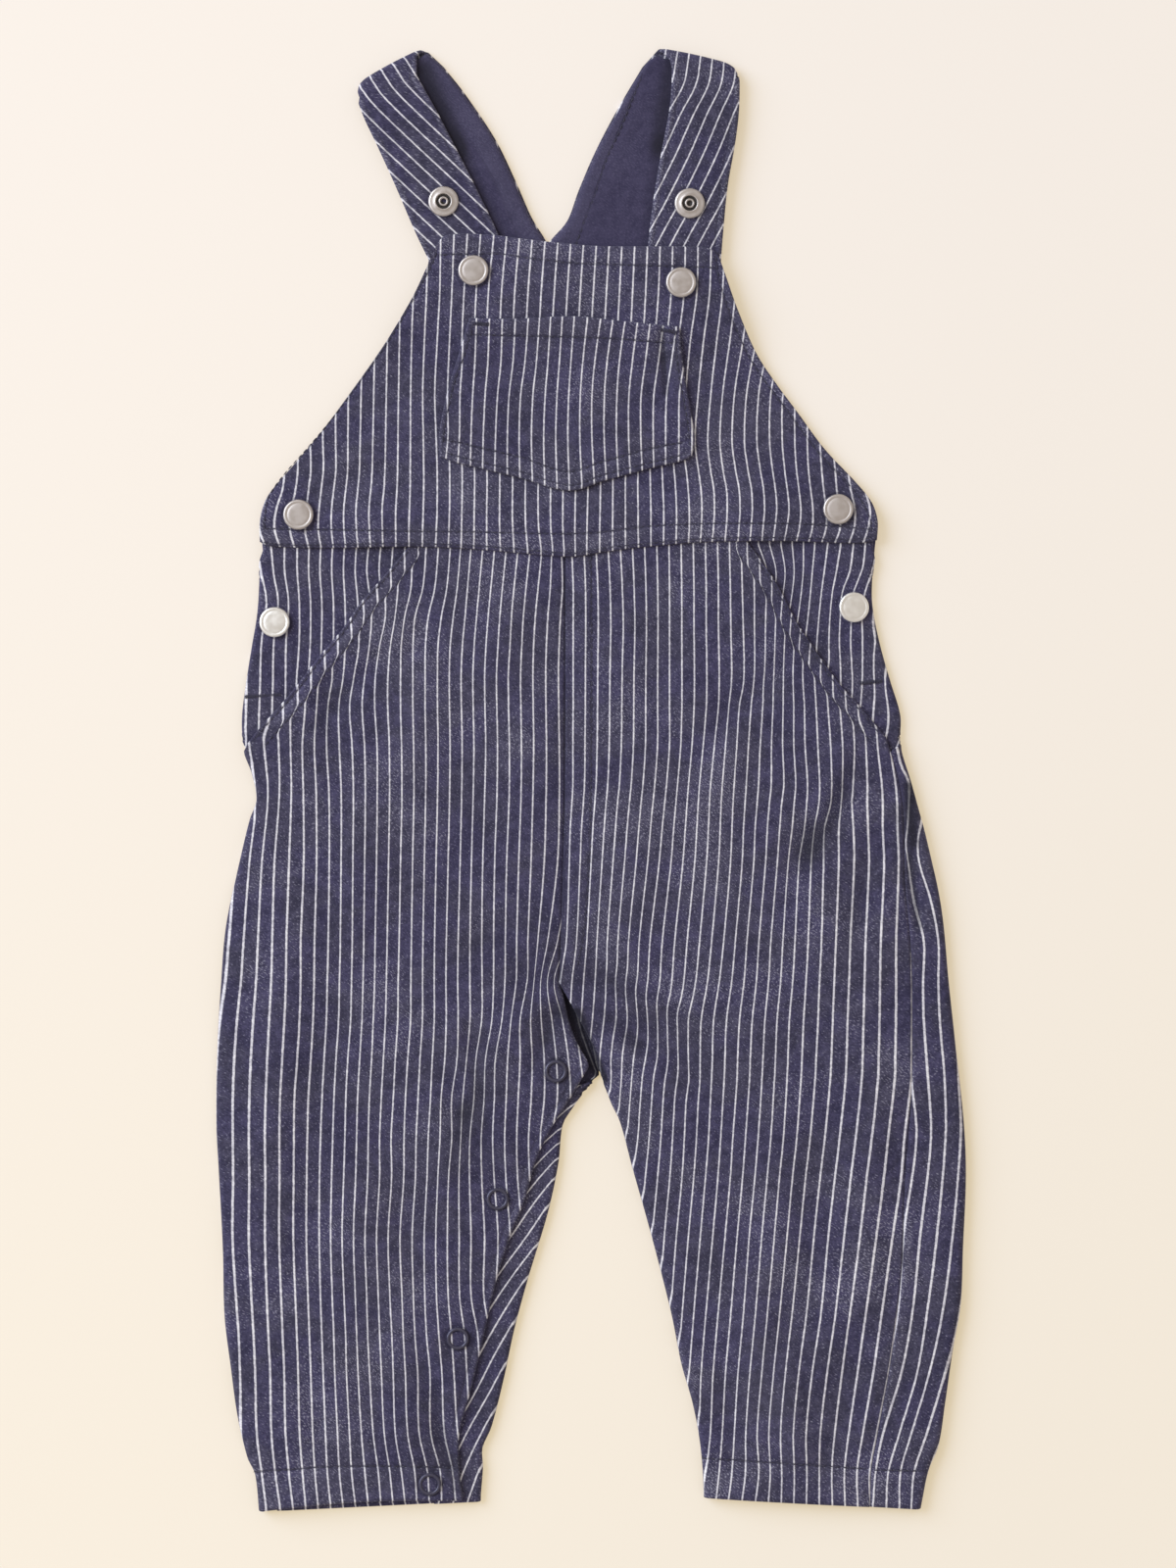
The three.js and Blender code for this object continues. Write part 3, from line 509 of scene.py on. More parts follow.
STRAP_RIGHT_SEAMS = [
    seam("strap_right_outer", [(749, 100), (744, 139), (736, 184), (731, 235), (729, 268)], 0.2, False),
    seam("strap_right_inner", [(694, 64), (691, 105), (683, 146), (675, 191), (668, 241)], 0.2, False),
]
LINING_LEFT_SEAMS = [
    seam("lining_left", [(436, 80), (450, 101), (476, 138), (500, 176), (519, 218), (532, 250), (540, 268)],
         0.1, False),
]
LINING_RIGHT_SEAMS = [
    seam("lining_right", [(655, 78), (640, 115), (632, 135), (620, 160), (612, 185), (605, 205), (597, 225),
                          (588, 250), (582, 268)]),
]


def total(fields: Sequence[Crease | Seam | Snap], x: Grid, y: Grid) -> Grid:
    """Adds up the heights of creases, grooves and pressed rings."""
    height = np.zeros(np.shape(x))
    for field in fields:
        height = height + field.height(x, y)
    return height


@dataclass(frozen=True)
class Band:
    """A strip of worn, paler cloth beside a line.

    Attributes:
        line: Where the strip starts.
        width: How wide it is, to the line's left, or to its right if less than 0.
        amount: How pale it is, from 0 to 1.
    """

    line: Polyline
    width: float
    amount: float

    def inside(self, x: Grid, y: Grid) -> Grid:
        """1 inside the strip, easing to 0 at its edges."""
        away = self.line.nearest(x, y)[0] * np.sign(self.width)
        return smooth((away + 0.6) / 1.2) * smooth((abs(self.width) + 0.6 - away) / 1.2)

    def before_end(self, x: Grid, y: Grid) -> Grid:
        """Like inside, but easing to 0 before the line's last point."""
        along = self.line.nearest(x, y)[1]
        return self.inside(x, y) * smooth((self.line.length - along - 3) / 9)


@dataclass(frozen=True)
class Tack:
    """A short dense row of thread that holds the end of an opening."""

    name: str
    start: Pair
    end: Pair


def beside(seams: Sequence[Seam], name: str, width: float, amount: float) -> Band:
    """A worn strip beside the named row of stitches."""
    return Band(next(row.line for row in seams if row.name == name), width, amount)


SLANT_LEFT_BAND = Band(SLANT_LEFT_LINE.offset(-1.2), 6.6, 0.3)
SLANT_RIGHT_BAND = Band(SLANT_RIGHT_LINE.offset(1.2), -6.6, 0.3)
FRONT_LEFT_BANDS = [
    SLANT_LEFT_BAND, beside(FRONT_LEFT_SEAMS, "hem_left", -14, 0.3),
    beside(FRONT_LEFT_SEAMS, "placket_left", 4, 0.4),
]
FRONT_RIGHT_BANDS = [
    SLANT_RIGHT_BAND, beside(FRONT_RIGHT_SEAMS, "hem_right", -14, 0.3),
    beside(FRONT_RIGHT_SEAMS, "centre", -9, 0.25),
]
WRAP_BANDS = [
    beside(BACK_RIGHT_SEAMS, "hem_wrap", -14, 0.4),
    Band(Polyline(from_picture([(912, 1250), (904, 1340), (897, 1430)])), 7, 0.8),
]
BIB_BANDS = [
    beside(BIB_SEAMS, "waist_low", 6.2, 0.5), beside(BIB_SEAMS, "bib_hem", 9, 0.35),
    beside(BIB_SEAMS, "bib_left", -6, 0.6), beside(BIB_SEAMS, "bib_right", 6, 0.6),
]
POCKET_BANDS = [
    beside(POCKET_SEAMS, "pocket_hem", 8, 0.25), beside(POCKET_SEAMS, "pocket_inner", -8, 0.4),
    beside(POCKET_SEAMS, "pocket_left", -4, 0.4), beside(POCKET_SEAMS, "pocket_right", 4, 0.4),
]
STRAP_LEFT_BANDS = [
    beside(STRAP_LEFT_SEAMS, "strap_left_outer", -12, 1.0),
    beside(STRAP_LEFT_SEAMS, "strap_left_inner", 12, 1.0),
]
STRAP_RIGHT_BANDS = [
    beside(STRAP_RIGHT_SEAMS, "strap_right_outer", 12, 1.0),
    beside(STRAP_RIGHT_SEAMS, "strap_right_inner", -12, 1.0),
]
LINING_LEFT_BANDS = [beside(LINING_LEFT_SEAMS, "lining_left", 9, 0.6)]
LINING_RIGHT_BANDS = [beside(LINING_RIGHT_SEAMS, "lining_right", -9, 0.6)]

HIP_TACKS = [Tack("tack_hip_left", (251, 711), (286, 709)), Tack("tack_hip_right", (877, 697), (899, 695))]
POCKET_TACKS = [
    Tack("tack_pocket_left", (485, 332), (499, 333)), Tack("tack_pocket_right", (674, 338), (690, 341)),
]


@dataclass(frozen=True)
class Snap:
    """Where a snap sits, and how it presses the cloth in.

    Attributes:
        name: The node that it stands for.
        x: Place across.
        y: Height on the garment.
        reach: Radius of the pressed ring.
        depth: How deep the ring is pressed.
    """

    name: str
    x: float
    y: float
    reach: float = CAP_REACH
    depth: float = 0.35

    RING_WIDTH = 1.5

    def side(self, x: Grid, y: Grid) -> Grid:
        """Distance outwards from the pressed ring."""
        return np.hypot(x - self.x, y - self.y) - self.reach

    def height(self, x: Grid, y: Grid) -> Grid:
        """Height that the pressed ring adds at each point."""
        return -self.depth * bell(self.side(x, y), self.RING_WIDTH)


BIB_SNAPS = [
    Snap("cap_bib_left", -43.2, 185.8), Snap("cap_bib_right", 32.8, 181.4),
    Snap("cap_side_left", -107.3, 96.5), Snap("cap_side_right", 90.4, 98.5),
]
HIP_LEFT_SNAP = Snap("cap_hip_left", -116.1, 57.2, depth=0.2)
HIP_RIGHT_SNAP = Snap("cap_hip_right", 96.1, 62.6, depth=0.2)
STRAP_LEFT_SNAP = Snap("socket_strap_left", -54.2, 211.3, depth=0.25)
STRAP_RIGHT_SNAP = Snap("socket_strap_right", 36.0, 210.6, depth=0.25)
RING_SNAPS = [
    Snap("ring_crotch", -13.0, -107.3, RING_REACH), Snap("ring_thigh", -34.4, -154.1, RING_REACH),
    Snap("ring_knee", -49.0, -205.2, RING_REACH), Snap("ring_hem", -59.2, -258.5, RING_REACH),
]


class StripeChart:
    """Which stripe runs where: for some stripes, their x at some heights, in picture steps."""

    def __init__(self, counts: Sequence[float], rows: Rows) -> None:
        self.counts = np.asarray(counts, float)
        table = np.asarray(rows, float)
        heights = (PICTURE_MIDDLE[1] - table[:, 0]) * STEP
        across = (table[:, 1:] - PICTURE_MIDDLE[0]) * STEP
        self.columns = [HeightCurve(np.stack([heights, across[:, k]], axis=1)) for k in range(len(counts))]

    def __call__(self, x: Grid, y: Grid) -> Grid:
        """Counts the stripes up to each point.

        Args:
            x: Places across.
            y: Heights.

        Returns:
            The stripe number at each point, whole on the middle of a stripe.
        """
        stations = np.stack([column(y) for column in self.columns], axis=-1)
        place = np.clip((stations <= x[..., None]).sum(-1) - 1, 0, len(self.counts) - 2)
        left = np.take_along_axis(stations, place[..., None], -1)[..., 0]
        right = np.take_along_axis(stations, place[..., None] + 1, -1)[..., 0]
        share = (x - left) / (right - left)
        return self.counts[place] + share * (self.counts[place + 1] - self.counts[place])


FRONT_LEFT_STRIPES = StripeChart([-25, -23, -21, -19, -17, -15, -13, -12, -10, -8, -6, -4, -2, 0], [
    (560, 262, 288, 314, 340, 365, 391, 420.7, 435.5, 460, 481, 505, 529, 553.5, 573),
    (600, 259, 285, 311, 337, 362, 393, 420, 432, 456.5, 477.5, 501.3, 524.8, 549.3, 574),
    (630, 257, 284, 311, 337, 365.5, 394, 413.5, 424, 451, 475, 498.5, 522.3, 546.4, 572),
    (660, 256, 284, 311, 338.5, 367, 388, 410, 422, 447.5, 472.3, 496.3, 520.7, 544.7, 570.7),
    (690, 255, 283.5, 311, 340, 362, 383.8, 409.5, 422, 447, 471, 495, 519, 544, 570),
    (720, 254, 282, 312.5, 335.5, 357.5, 383.2, 409.5, 422, 447, 471.3, 495.3, 519.3, 544.3, 570.3),
    (760, 255.3, 285.5, 309.5, 334, 360, 385.5, 410.5, 422.7, 447.5, 472, 496, 520, 544.8, 570.8),
    (810, 262.7, 286, 310.5, 336.7, 361.5, 385.8, 410.8, 423, 447, 471.6, 495, 520, 544, 571),
    (880, 255.5, 281, 311, 337, 361, 385, 409.4, 421.7, 445.5, 470, 493, 517.3, 542, 569),
    (960, 249.6, 279, 308, 336, 360.4, 383.6, 408, 420.5, 444, 468, 492, 516, 539, 559),
    (1000, 247, 278, 308, 335, 359.6, 383, 407, 420, 443.7, 467.5, 492.4, 515.6, 538.4, 552),
    (1040, 243, 276, 306.8, 334, 358.7, 381.6, 406.5, 419.7, 443.7, 468, 492, 512.5, 531, 552.5),
    (1080, 240.2, 274, 304.4, 331.7, 355.7, 380, 404, 416.7, 441.7, 467, 486, 505.6, 531, 555.5),
    (1120, 238.7, 272.5, 301.5, 329.6, 353.7, 377.7, 402, 414.4, 440, 461.3, 484, 504.7, 529, 555.5),
    (1160, 238.7, 271.6, 301, 328, 352.8, 376.6, 399.7, 413, 437.6, 461.6, 479.8, 503, 527.6, 551.6),
    (1200, 239, 272, 300.7, 327, 351.6, 376, 400.3, 412.7, 436.4, 458.3, 479.4, 504.5, 528.4, 553),
    (1260, 238.4, 271.6, 300.3, 326.7, 350, 373.3, 396.8, 408.8, 433.5, 457, 481, 508.5, 533, 558),
    (1320, 241.7, 273.3, 302.4, 328, 352, 375, 398.6, 410.9, 434, 457.8, 481, 507, 533, 559),
    (1360, 244.6, 275, 304, 329.4, 353.7, 376, 400.6, 412.3, 435.8, 461, 487.8, 513, 538, 563),
    (1400, 246, 276.9, 305.3, 330.8, 354.6, 378, 402, 414.4, 439.3, 463.7, 490, 516, 542, 568),
    (1460, 248, 278, 306.8, 333, 357.5, 381.6, 404, 416.7, 440, 467.5, 494, 520, 546, 572),
    (1500, 254, 281.8, 309.7, 335, 359.6, 386.8, 410.3, 424, 449.6, 475, 500, 526, 552, 578),
    (1535, 258, 286.8, 313, 338.4, 363.7, 389.8, 414.4, 426, 451.3, 480, 506, 532, 558, 584),
])
FRONT_RIGHT_STRIPES = StripeChart([0, 4, 8, 12, 14, 16, 18, 20, 22, 24, 26, 28], [
    (560, 583.5, 633, 682.5, 732, 756, 780, 804, 828, 852, 876, 900, 924),
    (600, 585, 635, 683, 732.7, 757, 781.5, 804, 827, 851, 875, 899, 923),
    (640, 585, 636, 683, 732.7, 758, 780.7, 800.7, 822, 847, 871, 896, 920),
    (680, 585, 635, 683, 733.5, 759, 780, 799, 818.5, 843, 868, 893, 917),
    (700, 585, 634.7, 683, 733.5, 758, 778.5, 798.7, 818.7, 843, 868, 893, 917),
    (720, 585, 634.5, 683, 733, 754, 778, 798.5, 820, 844, 868.7, 893, 917),
    (760, 584.7, 634, 683, 728.7, 751.3, 775.3, 798, 820.7, 846.8, 871, 894.5, 920),
    (800, 584.7, 632, 680, 724.7, 748.7, 773.5, 799.3, 823.3, 848, 869.7, 899, 927),
    (820, 583.7, 630, 678, 723.5, 747.5, 772, 797, 822.5, 847, 868.3, 900, 929),
    (845, 582, 628, 675.5, 722.5, 746.5, 770, 795, 820.5, 840.5, 870, 900, 930),
    (880, 581, 625.4, 672.4, 720.6, 745, 768.6, 792.7, 814.8, 839.5, 870.8, 901.3, 931),
    (960, 578, 619.6, 663, 713.5, 738, 761.7, 786, 810.5, 837.5, 867, 897.8, 929.3),
    (1000, 572, 619.3, 661.2, 709.7, 733.6, 758.8, 783.8, 808.2, 835.5, 865.6, 897, 930),
    (1040, 570, 615.9, 660.4, 702.8, 727.8, 754.2, 780, 804.7, 834, 864, 896.6, 930),
    (1080, 567, 612, 657.5, 701.4, 726.4, 752.2, 778, 803.3, 832, 863, 895.7, 929.6),
    (1100, 565, 613, 655, 700.5, 725.5, 751.6, 777, 802.4, 831, 862, 895, 929.3),
    (1160, 559, 607, 650.3, 698, 722.7, 747.3, 773, 798.7, 826, 856, 888.6, 922),
    (1200, 551, 598, 646, 695.7, 719.5, 744.8, 769.7, 794.7, 821.4, 851.2, 883.4, 918.7),
    (1260, 544, 592, 641, 690, 714.3, 739.5, 764, 789.5, 815.5, 844.5, 876.6, 910),
    (1340, 540, 588, 636, 684, 707.5, 732.2, 758, 782.3, 807.5, 836.9, 866.2, 898.7),
    (1400, 535, 583, 631, 679, 703, 727.3, 752.5, 776.6, 800.5, 827.8, 858.4, 890),
    (1460, 533, 581, 629, 677, 701, 724.4, 749, 772, 795.8, 821.8, 851.2, 879.7),
    (1500, 525, 573, 621, 669, 695, 720.5, 746.5, 773.8, 797, 822.6, 848, 873.8),
    (1535, 521, 569, 617, 665, 691, 717, 742, 769.5, 796.6, 822, 848.6, 874.5),
])
WRAP_STRIPES = StripeChart([0, 1, 2, 3], [
    (760, 913.5, 928, 942, 956), (780, 918, 932, 946, 960), (800, 926, 940, 954, 968),
    (840, 925.5, 938, 952, 966), (860, 923.5, 935.5, 949, 962), (880, 926, 937, 951, 964),
    (920, 932, 949.4, 963, 976), (960, 941.7, 956.6, 970, 983), (1000, 941, 956.6, 971, 984),
    (1040, 941.7, 958, 973, 986), (1100, 946, 963, 976, 988), (1160, 949, 963.8, 979, 992),
    (1260, 938, 955, 971, 986), (1340, 929.9, 944.7, 960.3, 977), (1400, 918.7, 935, 946.8, 962.9),
    (1460, 900.5, 917.4, 929, 945), (1500, 892.7, 905.7, 918, 932), (1535, 890, 903.6, 916.9, 929),
])
PLACKET_STRIPES = StripeChart([0, 4], [
    (1095, 712, 784), (1140, 646, 708), (1180, 599.6, 659.6), (1220, 565.5, 626.7), (1260, 538, 602),
    (1300, 508.5, 569.3), (1340, 480.8, 544.8), (1380, 459, 521), (1420, 441.5, 499.5), (1460, 417, 477),
    (1500, 396.8, 458), (1535, 389, 447),
])
HIP_LEFT_STRIPES = StripeChart([0, 1, 2, 3, 5, 7, 9, 11], [
    (556, 262, 277, 291, 304, 328, 352, 376.7, 401.5), (583, 267, 280, 291, 304, 327, 351, 374.8, 400),
    (615, 272.5, 284.5, 295, 306, 329, 352.5, 378.5, 402),
    (655, 267.5, 280, 292.5, 306, 328.5, 353, 378, 402), (700, 266, 279, 292, 303, 327, 352, 378, 402),
    (740, 264.8, 278, 292, 304, 328, 353, 378, 402), (765, 265, 278, 292, 304, 328, 353, 378, 402),
])
HIP_RIGHT_STRIPES = StripeChart([0, 2, 4, 5, 6, 7, 8, 9], [
    (556, 808, 831, 857.5, 870.5, 882.5, 896, 909, 921),
    (583, 810, 828.5, 853, 866.8, 879.5, 889, 902, 915),
    (605, 808, 826.5, 849, 859, 870.5, 882.5, 893, 905),
    (630, 804, 824, 846.5, 857, 868.5, 879.5, 889.5, 901),
    (655, 799, 821, 845.5, 856, 867.5, 879.5, 892.5, 903),
    (675, 796, 819, 845.5, 857, 868.5, 879.7, 891, 902.5),
    (700, 793, 817, 842, 857.5, 869.5, 879, 892.5, 903), (735, 791, 815, 841, 856, 867, 876, 890, 906),
    (765, 790, 814, 840, 853, 864, 875, 888, 901),
])
BIB_STRIPES = StripeChart([-22, -20, -18, -16, -14, -12, -10, -6, -2, 2, 6, 10, 12, 14, 16, 18, 20, 22, 24], [
    (240, 294, 320, 346, 372, 398, 424, 450.3, 504.5, 557, 609.3, 661, 712, 739, 765, 791, 817, 843, 869,
     895),
    (300, 293, 319, 345, 371, 396.5, 422.5, 449.3, 498.7, 552.5, 605.5, 658.7, 710.7, 736.8, 763, 789, 815,
     841, 867, 893),
    (350, 292, 318, 344, 370, 395.7, 420.5, 446.5, 497, 550, 603, 656, 704, 731, 757.5, 784, 810, 836, 862,
     888),
    (400, 291, 317, 343, 369, 394.7, 419.5, 444, 496.5, 549, 601.5, 653, 699.5, 725.5, 749.5, 774.3, 799,
     825, 851, 877),
    (450, 291, 317, 343, 368, 393.9, 419.2, 445.5, 497, 549, 600.5, 651, 696, 722, 746.7, 772, 797.9, 823.5,
     849.5, 875),
    (480, 291, 317.8, 343.3, 367.2, 393.2, 419, 446.5, 497.2, 549.3, 600.2, 651, 700, 724.8, 750.3, 775.6,
     800.4, 824.5, 851.8, 878),
    (500, 289, 315.6, 341.2, 365.7, 392.4, 419, 446.7, 497.3, 549.3, 600, 650.7, 702, 728, 753.9, 778.7,
     802.9, 826.7, 853.3, 881.9),
    (520, 283, 313.5, 339.2, 364, 390.7, 418.5, 446.7, 497, 549.3, 599.5, 651, 703, 728.6, 754.7, 779.5,
     804.5, 828.7, 856, 887),
    (540, 281, 312, 339, 364.5, 391, 418, 446, 497, 550, 599, 651, 703, 727.5, 753.5, 778, 802, 828, 856.5,
     885),
    (560, 287, 316, 341, 366, 391.5, 418, 445, 497, 552.5, 598.7, 651.5, 702, 725.5, 752, 776.5, 798, 822.5,
     849, 878),
])
POCKET_STRIPES = StripeChart([-2, 0, 2, 4, 6, 8, 10, 12, 14, 16, 17], [
    (327, 460, 486.7, 513, 539.5, 562, 586, 613, 638, 663.5, 691, 704),
    (370, 459, 485, 511.5, 536, 559.3, 582.7, 607, 632, 658.5, 685, 698),
    (405, 457, 482.7, 508, 531.5, 556.5, 580.5, 604, 629.5, 654, 680, 693),
    (447, 457.5, 481, 506, 530, 555, 579.5, 604, 629, 653.8, 679, 692.5),
    (495, 452, 480, 505, 531, 556, 581, 606.5, 631.3, 656, 679, 692),
])
RIGHT_STRAP_STRIPES = StripeChart([0, 4], [
    (50, 740, 788), (62, 738.8, 787.6), (88, 735.3, 786), (118, 721.2, 775), (160, 703, 759),
    (206, 680, 737), (235, 664, 721), (265, 648, 705),
])


def left_strap_stripes(x: Grid, y: Grid) -> Grid:
    """Counts the stripes of the left strap, which run across it and turn upright at its fold."""
    across = x / STEP + PICTURE_MIDDLE[0]
    down = PICTURE_MIDDLE[1] - y / STEP
    from_fold = np.maximum((across - 363) * 0.422 + (down - 88) * 0.906, 0)
    lowered = down + 9 * np.exp(-from_fold / 14)
    return (0.682 * across - 0.731 * lowered - 130.3) / 12.5


@dataclass(frozen=True)
class FrontShape:
    """A trouser front's edges, and how it rises between them.

    Attributes:
        fold: x of the edge that turns under, at any height.
        free: x of the other edge, at any height.
        centre_is_free: Whether the centre seam is the free edge.
        details: Grooves and pressed rings.
    """

    fold: Edge
    free: Edge
    centre_is_free: bool
    details: Sequence[Seam | Snap]

    MAIN_AMOUNT = 1.5
    SMALL_AMOUNT = 2.6
    ROLL = 0.5

    def lift(self, x: Grid, y: Grid, across: Grid, width: Grid) -> Grid:
        """Rise of the cloth, with its creases, grooves and turned hem.

        Args:
            x: Places across.
            y: Heights on the garment.
            across: Distance from the fold.
            width: Distance from the fold to the free edge.

        Returns:
            How far each point stands above the flat front.
        """
        from_centre = width - across if self.centre_is_free else across
        in_from_edges = np.minimum(across, width - across)
        waist_flat = smooth((80 - y) / 25)
        hem = HEM_BAND * smooth((HEM_HEIGHT + HEM_DEPTH - y) / 1.4) * smooth(in_from_edges / 3)
        main = self.MAIN_AMOUNT * total(MAIN_CREASES, x, y) * smooth(in_from_edges / 12)
        fine = self.SMALL_AMOUNT * total(SMALL_CREASES, x, y) * smooth(in_from_edges / 6)
        crown = FRONT_CROWN * smooth(in_from_edges / CROWN_RISE)
        roll = -self.ROLL * bell(from_centre, 1.6) * smooth((y + 84) / 8)
        details = total(self.details, x, y) * smooth(in_from_edges / 1.2)
        return (crown + main + fine) * waist_flat + hem + roll + details

    def top(self, x: Grid, y: Grid) -> Grid:
        """Height of the upper face at each point."""
        fold, free = self.fold(y), self.free(y)
        return FRONT_FOLD + self.lift(x, y, np.abs(x - fold), np.abs(free - fold))


FRONT_LEFT = FrontShape(
    fold=joined(LEFT_SLANT, (LEFT_HIP, LEFT_SIDE)),
    free=joined(FRONT_CENTRE, (CROTCH, LEFT_PLACKET)),
    centre_is_free=True,
    details=[*FRONT_LEFT_SEAMS, *RING_SNAPS],
)
FRONT_RIGHT = FrontShape(
    fold=joined(FRONT_CENTRE, (CROTCH, RIGHT_CLEFT), (INSEAM_TOP, RIGHT_INSEAM)),
    free=joined(RIGHT_SLANT, (RIGHT_HIP, RIGHT_SIDE_SEAM)),
    centre_is_free=False,
    details=FRONT_RIGHT_SEAMS,
)


def bib_height(x: Grid, y: Grid) -> Grid:
    """Height of the bib's middle layer, which lies on the back and rides up over straps and trousers.

    Args:
        x: Places across.
        y: Heights on the garment.

    Returns:
        Height above the surface at each point, without creases.
    """
    rest = CLOTH + LAID_GAP + CLOTH / 2
    over_straps = smooth((y - 148) / 26) * (STRAP_FOLD - CLOTH)
    from_centre = np.abs(x - BIB_MIDDLE)
    waist = mix(FRONT_FOLD - CLOTH, TUCKED_FOLD - CLOTH, smooth((from_centre - 70) / 28))
    over_waist = smooth((116 - y) / 24) * waist
    crown = 0.5 * smooth((80 - from_centre) / 50) * smooth((y - 92) / 20) * smooth((176 - y) / 20)
    return rest + over_straps + over_waist + crown


def bib_surface(x: Grid, y: Grid) -> Grid:
    """Middle layer of the bib with its creases, grooves and pressed rings."""
    settled = -0.3 * smooth((91 - y) / 6)
    return bib_height(x, y) + settled + total([*BIB_CREASES, *BIB_SEAMS, *BIB_SNAPS], x, y)


def pocket_surface(x: Grid, y: Grid) -> Grid:
    """Middle layer of the pocket, which lies on the bib and stands off it a little between its seams."""
    lying = bib_height(x, y) + total(BIB_CREASES, x, y) * 0.5 + CLOTH + LAID_GAP
    return lying + total([*POCKET_CREASES, *POCKET_SEAMS], x, y)


@dataclass
class Sheet:
    """A grid of points on the middle layer of a cloth.

    Attributes:
        points: Rows by columns of places.
        normals: Rows by columns of unit normals.
        stripes: Stripe count at each point.
        grain: Distance along the stripes at each point, in stripe spacings.
        thickness: How thick the cloth is.
    """

    points: Grid
    normals: Grid
    stripes: Grid
    grain: Grid
    thickness: float = CLOTH

    FAR_AWAY = 9.0
    FULL_DEPTH = 0.3
    NEAR = 1.7

    def marks(self, seams: Sequence[Seam | Snap], bands: Sequence[Band], shade_folds: Sequence[Crease]
              ) -> dict[str, Grid]:
        """Works out where grooves, worn strips and creases run, for the cloth's look, with the creases'
        heights kept for painted shade and highlight.

        Args:
            seams: Rows of stitches and pressed rings.
            bands: Worn strips.
            shade_folds: Creases whose heights are painted into the colour, as shade in troughs and highlight
                on ridges.

        Returns:
            Distance to the nearest groove, closeness to it, wear and the creases' heights for painted shade
            at each point.
        """
        x, y = self.points[..., 0], self.points[..., 1]
        side = np.full(x.shape, self.FAR_AWAY)
        strength = np.zeros(x.shape)
        wear = np.zeros(x.shape)
        for groove in seams:
            distance = groove.side(x, y)
            closer = np.abs(distance) < np.abs(side)
            side = np.where(closer, distance, side)
            strength = np.where(closer, min(1.0, groove.depth / self.FULL_DEPTH), strength)
        for band in bands:
            wear = np.maximum(wear, band.amount * band.inside(x, y))
        return {
            "groove_side": side,
            "groove_near": strength * bell(side, self.NEAR),
            "wear": wear,
            # painted shade and highlight: the creases' heights, read by the cloth's colour
            "relief": total(shade_folds, x, y),
        }


class Shell:
    """Builds a closed wall with a rounded rim round a sheet."""

    RIM_PUSH = 0.3

    def __init__(self, sheet: Sheet, marks: dict[str, Grid]) -> None:
        self.sheet = sheet
        self.marks = marks
        self.rows, self.columns = sheet.stripes.shape

    def rim(self) -> Grid:
        """Grid numbers once round the sheet's edge."""
        grid = np.arange(self.rows * self.columns).reshape(self.rows, self.columns)
        return np.concatenate([grid[0, :-1], grid[:-1, -1], grid[-1, :0:-1], grid[:0:-1, 0]])

    def outward(self) -> Grid:
        """Directions that point off the sheet at its rim."""
        grid = self.sheet.points
        row = np.clip(np.arange(self.rows), 1, self.rows - 2)
        column = np.clip(np.arange(self.columns), 1, self.columns - 2)
        away = (grid - grid[row][:, column]).reshape(-1, 3)[self.rim()]
        return away / (np.linalg.norm(away, axis=1)[:, None] + 1e-9)

    def places(self) -> Grid:
        """Corners of the upper side, the lower side and the rim."""
        half = self.sheet.normals * (self.sheet.thickness / 2)
        middle = self.sheet.points.reshape(-1, 3)[self.rim()] + self.outward() * self.RIM_PUSH
        sides = [(self.sheet.points + half).reshape(-1, 3), (self.sheet.points - half).reshape(-1, 3)]
        return np.concatenate([*sides, middle])

    def faces(self) -> Grid:
        """Corner numbers of the faces on both sides and round the rim."""
        count = self.rows * self.columns
        grid = np.arange(count).reshape(self.rows, self.columns)
        corners = [grid[:-1, :-1], grid[1:, :-1], grid[1:, 1:], grid[:-1, 1:]]
        outer = np.stack([corner.ravel() for corner in corners], axis=1)
        inner = outer[:, ::-1] + count
        rim = self.rim()
        following = np.roll(rim, -1)
        ring = 2 * count + np.arange(len(rim))
        next_ring = np.roll(ring, -1)
        upper = np.stack([rim, following, next_ring, ring], axis=1)
        lower = np.stack([ring, next_ring, following + count, rim + count], axis=1)
        return np.concatenate([outer, inner, upper, lower])

    def repeated(self, values: Grid) -> Grid:
        """Repeats the grid points' values for the upper side, the lower side and the rim."""
        flat = values.ravel()
        return np.concatenate([flat, flat, flat[self.rim()]])

    def build(self, name: str) -> bpy.types.Object:
        """Makes the mesh object.

        Args:
            name: The object's name.

        Returns:
            The object, linked to the scene, with stripe counts as its texture coordinates.
        """
        places, faces = self.places(), self.faces()
        first, second, third, fourth = (places[faces[:, k]] for k in range(4))
        volume = np.einsum("ij,ij->i", first, np.cross(second, third)).sum()
        volume += np.einsum("ij,ij->i", first, np.cross(third, fourth)).sum()
        if volume < 0:
            faces = faces[:, ::-1]
        texture = np.stack([self.repeated(self.sheet.stripes), self.repeated(self.sheet.grain)], axis=1)
        made = mesh_object(name, places, faces, texture)
        for label, values in self.marks.items():
            attribute = made.data.attributes.new(label, "FLOAT", "POINT")
            attribute.data.foreach_set("value", self.repeated(values).astype(np.float32))
        return made


def mesh_object(name: str, places: Grid, faces: Grid, texture: Grid | None = None
                ) -> bpy.types.Object:
    """Makes a smooth mesh object from places in millimetres.

    Args:
        name: The object's name.
        places: Corner places before centring.
        faces: Corner numbers of each face.
        texture: Texture coordinates of each corner.

    Returns:
        The object, linked to the scene.
    """
    mesh = bpy.data.meshes.new(name)
    mesh.from_pydata(((places + CENTRING) * MILLIMETRE).tolist(), [], faces.tolist())
    if texture is not None:
        layer = mesh.uv_layers.new(name="stripes")
        corners = np.zeros(len(mesh.loops), dtype=np.int32)
        mesh.loops.foreach_get("vertex_index", corners)
        layer.data.foreach_set("uv", texture[corners].astype(np.float32).ravel())
    mesh.polygons.foreach_set("use_smooth", np.ones(len(mesh.polygons), dtype=bool))
    mesh.update()
    made = bpy.data.objects.new(name, mesh)
    bpy.context.scene.collection.objects.link(made)
    return made


